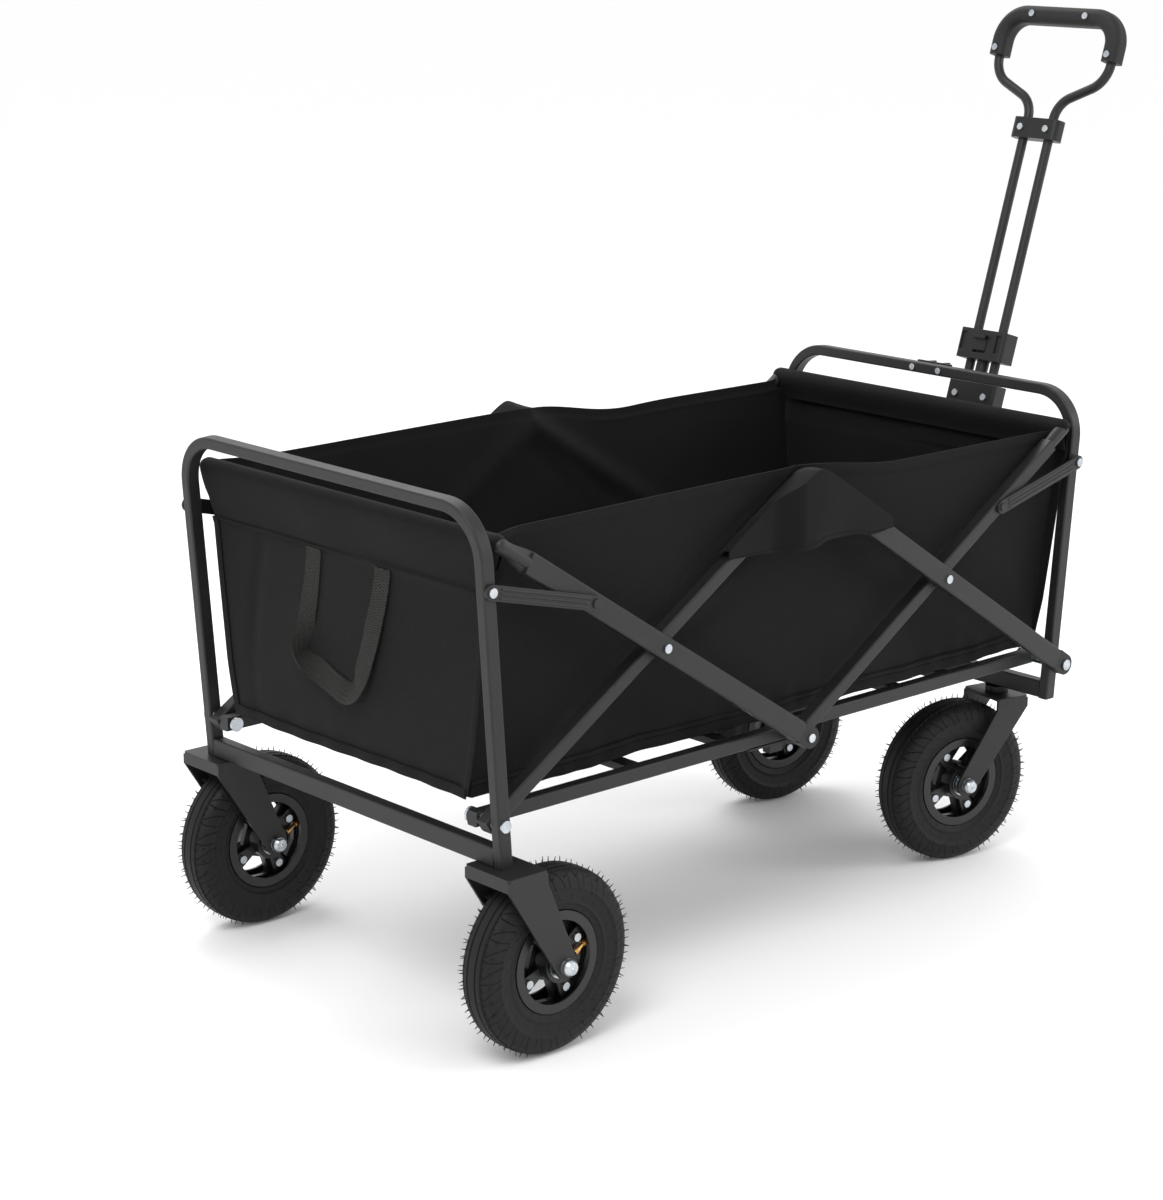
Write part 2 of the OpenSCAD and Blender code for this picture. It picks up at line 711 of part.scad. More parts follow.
// tube in a hem, with round corners into the side bars
module hoop_cross(x, y) {
  translate([x, 0, node_h]) rotate([90, 0, 0]) difference() {
    cylinder(d = hoop_d, h = 2 * y, center = true);
    cylinder(d = hoop_d - 2 * wall, h = 2 * y - 20, center = true);
  }
  for (s = [-1, 1]) translate([x, s * y, node_h]) sphere(d = hoop_d + weld_d);
}

// moulded cap closing a flat bar around the pin at x
module end_cap(x, r) rotate([-90, 0, 0]) linear_extrude(flat_t, center = true) difference() {
  union() {
    translate([x, 0]) circle(d = flat_h + 1);
    translate([x - 16, -flat_h / 2 - 0.5]) square([16, flat_h + 1]);
  }
  translate([x, 0]) circle(r = r);
}

module rail(l, t) translate([0, t / 2, 0]) bar_x(0, l, t, rail_h);

module ribbed_link(r) difference() {
  union() {
    rotate([-90, 0, 0]) linear_extrude(link_t) {
      circle(r = 8);
      translate([0, -8]) square([link_len, 16]);
      translate([link_len, 0]) circle(r = 8);
    }
    for (z = [-4.5, 0, 4.5]) translate([11, link_t, z]) rotate([0, 90, 0]) cylinder(r = 1.2, h = link_len - 22);
  }
  y_hole(0, link_t / 2, 0, r, link_t + 2);
}

// bent sheet fork from a top plate at z 0 down to the axle at [ax, -az]
module fork(ax, az, back, fore) {
  translate([(fore - back) / 2, 0, -fork_t]) linear_extrude(fork_t) rr(back + fore, 2 * fork_out, 4);
  lip = ax > 0 ? -back : fore - fork_t;
  translate([lip, -fork_in, -14]) cube([fork_t, 2 * fork_in, 14 - fork_t]);
  d = sqrt(ax * ax + az * az);
  nx = az / d;
  nz = ax / d;
  for (s = [-1, 1]) translate([0, s > 0 ? fork_out : -fork_in, 0]) rotate([90, 0, 0]) linear_extrude(fork_t)
    difference() {
      union() {
        polygon([
          [-back, -fork_t], [-back, -14], [ax - 14 * nx, -az - 14 * nz],
          [ax + 14 * nx, -az + 14 * nz], [fore, -14], [fore, -fork_t]
        ]);
        translate([ax, -az]) circle(r = 14);
      }
      translate([ax, -az]) circle(r = axle_d / 2);
    }
}

module loop_arc(y, z, r, from, sweep) translate([0, y, z]) rotate([90, 0, 90]) rotate([0, 0, from])
  rotate_extrude(angle = sweep) translate([r, 0]) circle(d = rod_d);

module screw_x(y, z, x) translate([x - 1.8, y, z]) rotate([0, 90, 0]) cylinder(r = 4.2, h = 1.8);

module y_rod(r, a, b) translate([0, a, 0]) rotate([-90, 0, 0]) cylinder(r = r, h = b - a);
module y_hole(x, y, z, r, l) translate([x, y, z]) rotate([90, 0, 0]) cylinder(r = r, h = l, center = true);
module x_hole(x, y, z, r, l) translate([x, y, z]) rotate([0, 90, 0]) cylinder(r = r, h = l, center = true);

// pin along Y from a to b, with a head r1 x h1 on the inside and r2 x h2 outside
module pin_y(x, z, a, b, r, r1, h1, r2, h2) translate([x, 0, z]) {
  y_rod(r, a, b);
  y_rod(r1, a - h1, a);
  y_rod(r2, b, b + h2);
}

module washer(x, z, a, b, r, ri) translate([x, 0, z]) difference() {
  y_rod(r, a, b);
  y_rod(ri, a - 1, b + 1);
}

rear_frame_tube();
rear_cross_tube();
front_frame_tube();
front_cross_tube();
rear_frame_pins();
front_frame_pins();
rear_bar(-1);  // rear_bar_right
rear_bar(1);  // rear_bar_left
rear_bar_pins();
rear_hoop_tube();
rear_hoop_caps();
rear_hoop_pins();
front_bar(-1);  // front_bar_right
front_bar(1);  // front_bar_left
front_bar_caps();
front_bar_pins();
front_hoop_tube();
rear_links();
front_links();
base_rear_frame();
base_front_frame();
base_hinge_plates();
rear_fork(-1);  // rear_fork_right
rear_fork(1);  // rear_fork_left
wheel_node("rr", "axle");  // rear_axle_right
wheel_node("rl", "axle");  // rear_axle_left
caster_cups();
caster_fork(-1);  // caster_fork_right
caster_fork(1);  // caster_fork_left
wheel_node("fr", "axle");  // caster_axle_right
wheel_node("fl", "axle");  // caster_axle_left
wheel_node("rr", "tyre");  // tyre_rear_right
wheel_node("rr", "rim");  // rim_rear_right
wheel_node("rr", "hub");  // hub_parts_rear_right
wheel_node("rl", "tyre");  // tyre_rear_left
wheel_node("rl", "rim");  // rim_rear_left
wheel_node("rl", "hub");  // hub_parts_rear_left
wheel_node("fr", "tyre");  // tyre_front_right
wheel_node("fr", "rim");  // rim_front_right
wheel_node("fr", "hub");  // hub_parts_front_right
wheel_node("fl", "tyre");  // tyre_front_left
wheel_node("fl", "rim");  // rim_front_left
wheel_node("fl", "hub");  // hub_parts_front_left
handle_mounts();
handle_stem();
latch_block();
latch_lever();
slider_block();
handle_loop();
loop_clamp();
grip_shell(1);  // grip_shell_front
grip_shell(-1);  // grip_shell_back
handle_screws();
end_panel(-half);  // rear_panel
end_panel(half);  // front_panel
side_wall(-1);  // side_wall_right
side_wall(1);  // side_wall_left
tub_floor(-1);  // tub_floor_rear
tub_floor(1);  // tub_floor_front
webbing_strap();
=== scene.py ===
import json
import math
import bpy
from mathutils import Matrix, Vector

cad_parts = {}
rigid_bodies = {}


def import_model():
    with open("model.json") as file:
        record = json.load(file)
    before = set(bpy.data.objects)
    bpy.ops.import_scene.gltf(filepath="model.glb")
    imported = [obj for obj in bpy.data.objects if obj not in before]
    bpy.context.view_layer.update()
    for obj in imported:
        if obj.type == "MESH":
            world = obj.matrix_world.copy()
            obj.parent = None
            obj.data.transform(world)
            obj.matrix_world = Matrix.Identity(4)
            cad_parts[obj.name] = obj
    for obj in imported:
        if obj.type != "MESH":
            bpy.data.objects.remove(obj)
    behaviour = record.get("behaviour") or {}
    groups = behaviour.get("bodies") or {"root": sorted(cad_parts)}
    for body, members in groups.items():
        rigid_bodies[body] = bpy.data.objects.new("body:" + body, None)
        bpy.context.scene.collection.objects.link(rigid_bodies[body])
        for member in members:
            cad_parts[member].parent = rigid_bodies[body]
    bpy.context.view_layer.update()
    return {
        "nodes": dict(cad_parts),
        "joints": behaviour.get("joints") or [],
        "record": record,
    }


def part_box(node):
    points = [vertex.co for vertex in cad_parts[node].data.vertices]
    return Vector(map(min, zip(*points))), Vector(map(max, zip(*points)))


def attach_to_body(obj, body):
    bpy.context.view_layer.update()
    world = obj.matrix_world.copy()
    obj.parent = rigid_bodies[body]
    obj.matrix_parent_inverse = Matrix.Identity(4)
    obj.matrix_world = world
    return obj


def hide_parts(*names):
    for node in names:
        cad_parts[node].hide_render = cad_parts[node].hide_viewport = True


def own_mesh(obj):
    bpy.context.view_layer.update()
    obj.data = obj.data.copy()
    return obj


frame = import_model()
print("frame loaded:", len(frame["nodes"]), "parts")

# the middle of the scissor frame, which the tub is laid out from
midX = (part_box("tub_floor_rear")[0][0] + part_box("tub_floor_front")[1][0]) / 2


def place(x, y, z):
    # millimetres from the middle of the wagon to the frame's metres
    return Vector((midX + x / 1000, y / 1000, z / 1000))


# ---------------------------------------------------------------- view
viewSizes = {
    "spot": (-2.2996, -2.2598, 1.1859),
    "azimuth": -42.50,
    "elevation": 14.68,
    "roll": 0.43,
    "lens": 87.1,
    "sensor": 36,
    "reach": 60,
}


def addCamera(sizes):
    azimuth = math.radians(sizes["azimuth"])
    tilt = math.radians(sizes["elevation"])
    roll = math.radians(sizes["roll"])
    flat = math.cos(tilt)
    back = Vector((math.sin(azimuth) * flat, -math.cos(azimuth) * flat, math.sin(tilt)))
    right = Vector((math.cos(azimuth), math.sin(azimuth), 0))
    up = back.cross(right)
    sideways = right * math.cos(roll) + up * math.sin(roll)
    upright = up * math.cos(roll) - right * math.sin(roll)
    bpy.ops.object.camera_add(location=sizes["spot"])
    camera = bpy.context.object
    camera.name = "viewCamera"
    turn = Matrix((sideways, upright, back)).transposed().to_4x4()
    camera.matrix_world = Matrix.Translation(Vector(sizes["spot"])) @ turn
    camera.data.lens = sizes["lens"]
    camera.data.sensor_width = sizes["sensor"]
    camera.data.sensor_fit = "HORIZONTAL"
    camera.data.clip_end = sizes["reach"]
    bpy.context.scene.camera = camera


addCamera(viewSizes)

airStrength = 1.04
lampSizes = {
    "keySoft": {"spot": (-2.4, -1.2, 3.2), "aim": (0.0, 0.0, 0.3), "size": 1.8, "power": 60},
    "sideSoft": {"spot": (2.6, -2.6, 1.8), "aim": (0.1, 0.0, 0.4), "size": 1.6, "power": 30},
    "topSoft": {"spot": (0.4, 1.8, 3.2), "aim": (0.0, 0.0, 0.2), "size": 2.4, "power": 40},
}


def addLamps(lamps):
    for name, lamp in lamps.items():
        bpy.ops.object.light_add(type="AREA", location=lamp["spot"])
        light = bpy.context.object
        light.name = name
        light.data.shape = "DISK"
        light.data.size = lamp["size"]
        light.data.energy = lamp["power"]
        aim = Vector(lamp["aim"]) - Vector(lamp["spot"])
        light.rotation_euler = aim.to_track_quat("-Z", "Y").to_euler()
    world = bpy.data.worlds.new("studioAir")
    world.use_nodes = True
    world.node_tree.nodes["Background"].inputs[0].default_value = (1.0, 1.0, 1.0, 1)
    world.node_tree.nodes["Background"].inputs[1].default_value = airStrength
    bpy.context.scene.world = world
    bpy.context.scene.view_settings.view_transform = "Standard"


addLamps(lampSizes)
print("camera and lamps placed")


# ---------------------------------------------------------------- nodes
def addNode(tree, kind, settings=None, **inputs):
    node = tree.nodes.new(kind)
    for name, value in (settings or {}).items():
        setattr(node, name, value)
    for name, value in inputs.items():
        socket = node.inputs[name.replace("_", " ")]
        if isinstance(value, bpy.types.NodeSocket):
            tree.links.new(value, socket)
        else:
            socket.default_value = value
    return node


def calc(tree, operation, first, second=None, clamp=False):
    node = tree.nodes.new("ShaderNodeMath")
    node.operation = operation
    node.use_clamp = clamp
    for slotIndex, value in enumerate((first, second)):
        if value is None:
            continue
        if isinstance(value, bpy.types.NodeSocket):
            tree.links.new(value, node.inputs[slotIndex])
        else:
            node.inputs[slotIndex].default_value = value
    return node.outputs[0]


def span(tree, value, fromLow, fromHigh, toLow, toHigh):
    node = tree.nodes.new("ShaderNodeMapRange")
    tree.links.new(value, node.inputs[0])
    for slotIndex, number in enumerate((fromLow, fromHigh, toLow, toHigh)):
        node.inputs[slotIndex + 1].default_value = number
    return node.outputs[0]


def mixColour(tree, share, first, second):
    node = tree.nodes.new("ShaderNodeMix")
    node.data_type = "RGBA"
    for slotIndex, value in ((0, share), (6, first), (7, second)):
        if isinstance(value, bpy.types.NodeSocket):
            tree.links.new(value, node.inputs[slotIndex])
        elif slotIndex == 0:
            node.inputs[0].default_value = value
        else:
            node.inputs[slotIndex].default_value = (*value, 1)
    return node.outputs[2]


def newGroup(name, inputs, outputs):
    tree = bpy.data.node_groups.new(name, "ShaderNodeTree")
    for title, kind, value in inputs:
        socket = tree.interface.new_socket(name=title, in_out="INPUT", socket_type=kind)
        if value is not None:
            socket.default_value = value
    for title, kind in outputs:
        tree.interface.new_socket(name=title, in_out="OUTPUT", socket_type=kind)
    return tree, tree.nodes.new("NodeGroupInput"), tree.nodes.new("NodeGroupOutput")


floatSocket = "NodeSocketFloat"
vectorSocket = "NodeSocketVector"


# cloudy differences in tone and gloss, with a fine grain for the bump
def buildSurfaceGrain():
    tree, source, result = newGroup(
        "surfaceGrain",
        [
            ("Vector", vectorSocket, None),
            ("Grain Size", floatSocket, 900.0),
            ("Cloud Size", floatSocket, 9.0),
        ],
        [("Grain", floatSocket), ("Cloud", floatSocket), ("Fleck", floatSocket)],
    )
    spot = source.outputs[0]
    grain = addNode(tree, "ShaderNodeTexNoise", None, Vector=spot, Scale=source.outputs[1], Detail=3.0)
    cloud = addNode(tree, "ShaderNodeTexNoise", None, Vector=spot, Scale=source.outputs[2], Detail=5.0)
    fleck = addNode(tree, "ShaderNodeTexNoise", None, Vector=spot, Scale=260.0, Detail=2.0)
    tree.links.new(grain.outputs[0], result.inputs[0])
    tree.links.new(span(tree, cloud.outputs[0], 0.3, 0.7, 0.0, 1.0), result.inputs[1])
    tree.links.new(span(tree, fleck.outputs[0], 0.62, 0.74, 0.0, 1.0), result.inputs[2])
    return tree


# plain weave from two crossed sets of threads, laid out in the cloth's own metres
def buildWeave():
    tree, source, result = newGroup(
        "threadWeave",
        [
            ("Vector", vectorSocket, None),
            ("Across", floatSocket, 1000.0),
            ("Along", floatSocket, 1000.0),
        ],
        [("Height", floatSocket), ("Tone", floatSocket)],
    )
    parts = addNode(tree, "ShaderNodeSeparateXYZ", None, Vector=source.outputs[0])
    warp = calc(tree, "SINE", calc(tree, "MULTIPLY", parts.outputs[0], source.outputs[1]))
    weft = calc(tree, "SINE", calc(tree, "MULTIPLY", parts.outputs[1], source.outputs[2]))
    crossing = calc(tree, "MULTIPLY", warp, weft)
    slub = addNode(tree, "ShaderNodeTexNoise", None, Vector=source.outputs[0], Scale=420.0, Detail=3.0)
    height = calc(tree, "ADD", calc(tree, "MULTIPLY", crossing, 0.5), slub.outputs[0])
    broad = addNode(tree, "ShaderNodeTexNoise", None, Vector=source.outputs[0], Scale=14.0, Detail=6.0)
    tree.links.new(height, result.inputs[0])
    tree.links.new(span(tree, broad.outputs[0], 0.3, 0.7, 0.0, 1.0), result.inputs[1])
    return tree


surfaceGrain = buildSurfaceGrain()
threadWeave = buildWeave()


def newMaterial(name):
    material = bpy.data.materials.new(name)
    material.use_nodes = True
    tree = material.node_tree
    return material, tree, tree.nodes["Principled BSDF"]


def useGroup(tree, group, **inputs):
    return addNode(tree, "ShaderNodeGroup", {"node_tree": group}, **inputs)


def addBump(tree, depth, height):
    return addNode(tree, "ShaderNodeBump", None, Strength=1.0, Distance=depth, Height=height)


# each finish: two tones, roughness from and to, size and depth of the grain, and what else it needs
finishSizes = {
    "powderCoat": {
        "tones": ((0.0105, 0.0107, 0.0105), (0.0165, 0.0167, 0.0161)),
        "rough": (0.34, 0.48),
        "grain": (1500, 0.00012),
        "edge": 0.0012,
        "fleck": 1.3,
        "shine": 0.32,
    },
    "mouldedBlack": {
        "tones": ((0.004, 0.004, 0.0042), (0.007, 0.007, 0.007)),
        "rough": (0.36, 0.52),
        "grain": (1300, 0.0001),
        "edge": 0.0011,
        "shine": 0.36,
    },
    "gripBlack": {
        "tones": ((0.006, 0.006, 0.006), (0.011, 0.011, 0.0105)),
        "rough": (0.48, 0.62),
        "grain": (620, 0.0005),
        "edge": 0.0012,
        "fleck": 1.3,
        "shine": 0.3,
    },
    "rimBlack": {
        "tones": ((0.003, 0.003, 0.0032), (0.006, 0.006, 0.006)),
        "rough": (0.28, 0.40),
        "grain": (900, 0.0001),
        "edge": 0.001,
    },
    "zincPlate": {
        "tones": ((0.36, 0.39, 0.42), (0.58, 0.61, 0.64)),
        "rough": (0.20, 0.36),
        "grain": (700, 0.00006),
        "edge": 0.0006,
        "metal": 1.0,
        "cloud": 60,
    },
    "valveBrass": {
        "tones": ((0.42, 0.22, 0.07), (0.60, 0.36, 0.13)),
        "rough": (0.25, 0.42),
        "grain": (700, 0.00006),
        "metal": 1.0,
    },
}


def grainedMaterial(name):
    sizes = finishSizes[name]
    dark, light = sizes["tones"]
    grainSize, grainDepth = sizes["grain"]
    material, tree, skin = newMaterial(name)
    spot = addNode(tree, "ShaderNodeTexCoord").outputs["Object"]
    cloudSize = sizes.get("cloud", 9.0)
    grain = useGroup(tree, surfaceGrain, Vector=spot, Grain_Size=grainSize, Cloud_Size=cloudSize)
    tone = mixColour(tree, grain.outputs["Cloud"], dark, light)
    if "fleck" in sizes:
        bright = tuple(channel * sizes["fleck"] for channel in light)
        tone = mixColour(tree, grain.outputs["Fleck"], tone, bright)
    tree.links.new(tone, skin.inputs["Base Color"])
    gloss = span(tree, grain.outputs["Cloud"], 0, 1, *sizes["rough"])
    tree.links.new(gloss, skin.inputs["Roughness"])
    skin.inputs["Metallic"].default_value = sizes.get("metal", 0.0)
    skin.inputs["Specular IOR Level"].default_value = sizes.get("shine", 0.5)
    bump = addBump(tree, grainDepth, grain.outputs["Grain"])
    if "edge" in sizes:
        corner = addNode(tree, "ShaderNodeBevel", {"samples": 4}, Radius=sizes["edge"])
        tree.links.new(corner.outputs[0], bump.inputs["Normal"])
    tree.links.new(bump.outputs[0], skin.inputs["Normal"])
    return material


powderCoat = grainedMaterial("powderCoat")
mouldedBlack = grainedMaterial("mouldedBlack")
gripBlack = grainedMaterial("gripBlack")
rimBlack = grainedMaterial("rimBlack")
zincPlate = grainedMaterial("zincPlate")
valveBrass = grainedMaterial("valveBrass")

# each cloth: two tones, threads across and along, depth of the weave, roughness from and to, sheen
clothSizes = {
    "tubCloth": {
        "tones": ((0.0030, 0.0030, 0.0032), (0.0052, 0.0052, 0.0055)),
        "threads": (5200, 5200),
        "depth": 0.00035,
        "rough": (0.72, 0.84),
        "sheen": 0.03,
    },
    "bindingTape": {
        "tones": ((0.0035, 0.0035, 0.0037), (0.0060, 0.0060, 0.0064)),
        "threads": (2600, 5200),
        "depth": 0.0005,
        "rough": (0.7, 0.85),
        "sheen": 0.02,
    },
    # the tone of the webbing follows the height of its ribs: painted highlight on the rib tops and
    # painted shade in the grooves between them
    "webbingTape": {
        "tones": ((0.0050, 0.0050, 0.0046), (0.0240, 0.0238, 0.0205)),
        "threads": (3000, 620),
        "depth": 0.0012,
        "rough": (0.5, 0.7),
        "sheen": 0.05,
        "ribShadeAndHighlight": (0.2, 0.9),
    },
}


# black polyester cloth: weave, broad tone and a dull sheen
def clothMaterial(name):
    sizes = clothSizes[name]
    across, along = sizes["threads"]
    material, tree, skin = newMaterial(name)
    spot = addNode(tree, "ShaderNodeUVMap").outputs[0]
    weave = useGroup(tree, threadWeave, Vector=spot, Across=across, Along=along)
    tone = weave.outputs["Tone"]
    # painted shade and highlight: for the webbing the colour darkens in the grooves and lightens on the
    # rib tops, following the weave height
    if "ribShadeAndHighlight" in sizes:
        tone = span(tree, weave.outputs["Height"], *sizes["ribShadeAndHighlight"], 0.0, 1.0)
    tree.links.new(mixColour(tree, tone, *sizes["tones"]), skin.inputs["Base Color"])
    gloss = span(tree, weave.outputs["Tone"], 0, 1, *sizes["rough"])
    tree.links.new(gloss, skin.inputs["Roughness"])
    skin.inputs["Sheen Weight"].default_value = sizes["sheen"]
    skin.inputs["Sheen Roughness"].default_value = 0.45
    skin.inputs["Specular IOR Level"].default_value = 0.14
    bump = addBump(tree, sizes["depth"], weave.outputs["Height"])
    tree.links.new(bump.outputs[0], skin.inputs["Normal"])
    return material


tubCloth = clothMaterial("tubCloth")
bindingTape = clothMaterial("bindingTape")
webbingTape = clothMaterial("webbingTape")


tyreCuts = {
    "count": 26,
    # the far shoulder's cuts sit this share of a pitch further round
    "shift": 0.37,
    # along the pitch and out from the tread, start and end; bow and half width
    "marks": [
        (0.10, 0.20, 0.24, 0.47, -0.25, 0.035),
        (0.30, 0.20, 0.92, 0.50, 0.3, 0.040),
        (0.40, 0.56, 0.62, 0.63, 0.0, 0.03),
        (0.15, 0.72, 0.20, 0.80, 0.0, 0.025),
    ],
    "tones": ((0.0048, 0.0048, 0.0047), (0.0085, 0.0085, 0.0082)),
    # painted shade: the near-black colour that the inside of the cuts is darkened to
    "grooveShadeTone": (0.0010, 0.0010, 0.0010),
    "rough": (0.52, 0.68),
    "depth": 0.0016,
}


# tyre rubber: the shoulder cuts follow the tyre's own map, u once round and v from tread to bead
def buildTyreRubber(sizes):
    material, tree, skin = newMaterial("tyreRubber")
    spot = addNode(tree, "ShaderNodeTexCoord").outputs["Object"]
    grain = useGroup(tree, surfaceGrain, Vector=spot, Grain_Size=700.0, Cloud_Size=14.0)
    flatSpot = addNode(tree, "ShaderNodeUVMap").outputs[0]
    parts = addNode(tree, "ShaderNodeSeparateXYZ", None, Vector=flatSpot)
    around = calc(tree, "FRACT", calc(tree, "MULTIPLY", parts.outputs[0], sizes["count"]))
    out = parts.outputs[1]

    def cut(fromU, fromV, toU, toV, bow, width):
        # a groove from one spot of the map to another, 1 in its middle
        share = span(tree, out, fromV, toV, 0.0, 1.0)
        rest = calc(tree, "SUBTRACT", 1.0, share)
        lean = calc(tree, "MULTIPLY", calc(tree, "MULTIPLY", share, rest), bow)
        straight = calc(tree, "MULTIPLY", share, toU - fromU)
        line = calc(tree, "ADD", straight, calc(tree, "ADD", lean, fromU))
        away = calc(tree, "ABSOLUTE", calc(tree, "SUBTRACT", around, line))
        near = calc(tree, "SUBTRACT", 1.0, calc(tree, "DIVIDE", away, width), clamp=True)
        above = calc(tree, "GREATER_THAN", out, min(fromV, toV))
        below = calc(tree, "LESS_THAN", out, max(fromV, toV))
        return calc(tree, "MULTIPLY", near, calc(tree, "MULTIPLY", above, below))

    grooves = cut(*sizes["marks"][0])
    for numbers in sizes["marks"][1:]:
        grooves = calc(tree, "MAXIMUM", grooves, cut(*numbers))
    tone = mixColour(tree, grain.outputs["Cloud"], *sizes["tones"])
    # painted shade: the colour is darkened inside the cuts, where shade falls in the grooves
    shade = calc(tree, "MULTIPLY", grooves, 0.85, clamp=True)
    tree.links.new(mixColour(tree, shade, tone, sizes["grooveShadeTone"]), skin.inputs["Base Color"])
    skin.inputs["Specular IOR Level"].default_value = 0.24
    gloss = span(tree, grain.outputs["Cloud"], 0, 1, *sizes["rough"])
    tree.links.new(gloss, skin.inputs["Roughness"])
    height = calc(tree, "SUBTRACT", calc(tree, "MULTIPLY", grain.outputs["Grain"], 0.10), grooves)
    bump = addBump(tree, sizes["depth"], height)
    tree.links.new(bump.outputs[0], skin.inputs["Normal"])
    return material


tyreRubber = buildTyreRubber(tyreCuts)
print("materials ready")


# ---------------------------------------------------------------- helpers
def deselect():
    if bpy.context.object and bpy.context.object.mode != "OBJECT":
        bpy.ops.object.mode_set(mode="OBJECT")
    bpy.ops.object.select_all(action="DESELECT")


def pick(piece):
    deselect()
    piece.select_set(True)
    bpy.context.view_layer.objects.active = piece


def settle(piece, name, material, smooth=35):
    # the place goes into the mesh, and the finish onto the piece
    pick(piece)
    bpy.ops.object.transform_apply(location=True, rotation=True, scale=True)
    piece.name = name
    piece.data.name = name
    piece.data.materials.clear()
    piece.data.materials.append(material)
    bpy.ops.object.shade_smooth_by_angle(angle=math.radians(smooth))
    return piece


def attach(piece, body, slotName, *replaced):
    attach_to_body(piece, body)
    if replaced:
        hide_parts(*replaced)


def copyPiece(piece, name, matrix):
    twin = piece.copy()
    twin.data = piece.data.copy()
    bpy.context.collection.objects.link(twin)
    twin.name = name
    twin.data.name = name
    twin.data.transform(matrix)
    if matrix.determinant() < 0:
        twin.data.flip_normals()
    return twin


def drawProfile(points):
    # one point pulled along the profile, as a row of edges
    deselect()
    bpy.ops.mesh.primitive_plane_add(size=0.001)
    bpy.ops.object.mode_set(mode="EDIT")
    bpy.ops.mesh.merge(type="CENTER")
    bpy.ops.transform.translate(value=points[0])
    here = Vector(points[0])
    for point in points[1:]:
        step = Vector(point) - here
        bpy.ops.mesh.extrude_region_move(TRANSFORM_OT_translate={"value": step})
        here = Vector(point)
    return bpy.context.object


def spinProfile(points, axis, steps):
    piece = drawProfile(points)
    bpy.ops.mesh.select_all(action="SELECT")
    bpy.ops.mesh.spin(steps=steps, angle=math.tau, center=(0, 0, 0), axis=axis)
    bpy.ops.mesh.select_all(action="SELECT")
    bpy.ops.mesh.remove_doubles(threshold=0.00002)
    bpy.ops.mesh.normals_make_consistent(inside=False)
    bpy.ops.object.mode_set(mode="OBJECT")
    return piece


def joinPieces(pieces):
    deselect()
    for piece in pieces:
        piece.select_set(True)
    bpy.context.view_layer.objects.active = pieces[0]
    bpy.ops.object.join()
    return bpy.context.object


# ---------------------------------------------------------------- floor
floorSizes = {"width": 80.0, "tone": (0.95, 0.95, 0.95, 1), "rough": 0.75}
deselect()
bpy.ops.mesh.primitive_plane_add(size=floorSizes["width"], location=(0, 0, 0))
studioFloor = bpy.context.object
studioFloor.name = "studioFloor"
paleFloor, _, floorSkin = newMaterial("paleFloor")
floorSkin.inputs["Base Color"].default_value = floorSizes["tone"]
floorSkin.inputs["Roughness"].default_value = floorSizes["rough"]
studioFloor.data.materials.append(paleFloor)

# ---------------------------------------------------------------- finishes of the frame's own parts
finishes = {
    "painted_steel": powderCoat,
    "black_plastic": mouldedBlack,
    "zinc": zincPlate,
    "tyre_rubber": tyreRubber,
    "black_fabric": tubCloth,
}
for entry in frame["record"]["subparts"]:
    node = bpy.data.objects[entry["node"]]
    finish = finishes[entry["material_slot"]]
    if entry["node"].startswith("rim"):
        finish = rimBlack
    if entry["node"].startswith("grip"):
        finish = gripBlack
    node.data.materials.clear()
    node.data.materials.append(finish)
print("frame parts finished")

# ---------------------------------------------------------------- hoop ends
# the round tube of the rear hoop is pressed flat where it becomes the side bar
hoopEndSizes = {
    "angle": 32.67,
    "x": -446.0,
    "y": 243.7,
    "z": 543.0,
    # distance along the tube, half width and half height of the section, in millimetres
    "sections": [
        (-2, 8.3, 8.3), (10, 8.3, 8.4), (18, 8.2, 9.0), (26, 7.9, 10.4),
        (34, 7.5, 11.9), (42, 7.2, 12.9), (50, 6.7, 12.9), (54, 6.1, 12.2),
    ],
}


def buildHoopEnd(sizes):
    deselect()
    first = sizes["sections"][0]
    bpy.ops.mesh.primitive_circle_add(
        vertices=40,
        radius=first[1] / 1000,
        rotation=(0, math.radians(90), 0),
        location=(first[0] / 1000, 0, 0),
    )
    bpy.ops.object.mode_set(mode="EDIT")
    bpy.ops.mesh.select_all(action="SELECT")
    for before, after in zip(sizes["sections"], sizes["sections"][1:]):
        step = ((after[0] - before[0]) / 1000, 0, 0)
        bpy.ops.mesh.extrude_region_move(TRANSFORM_OT_translate={"value": step})
        bpy.ops.transform.resize(value=(1, after[1] / before[1], after[2] / before[2]))
    bpy.ops.mesh.select_all(action="SELECT")
    bpy.ops.mesh.normals_make_consistent(inside=False)
    bpy.ops.object.mode_set(mode="OBJECT")
    return settle(bpy.context.object, "hoopEndModel", powderCoat, 50)


hoopEndModel = buildHoopEnd(hoopEndSizes)
for side, title in ((-1, "right"), (1, "left")):
    seat = Matrix.Translation(place(hoopEndSizes["x"], side * hoopEndSizes["y"], hoopEndSizes["z"]))
    lean = Matrix.Rotation(math.radians(hoopEndSizes["angle"]), 4, "Y")
    hoopEnd = copyPiece(hoopEndModel, "hoop_end_rear_" + title, seat @ lean)
    attach(hoopEnd, "rear_hoop", "painted_steel")
bpy.data.objects.remove(hoopEndModel)

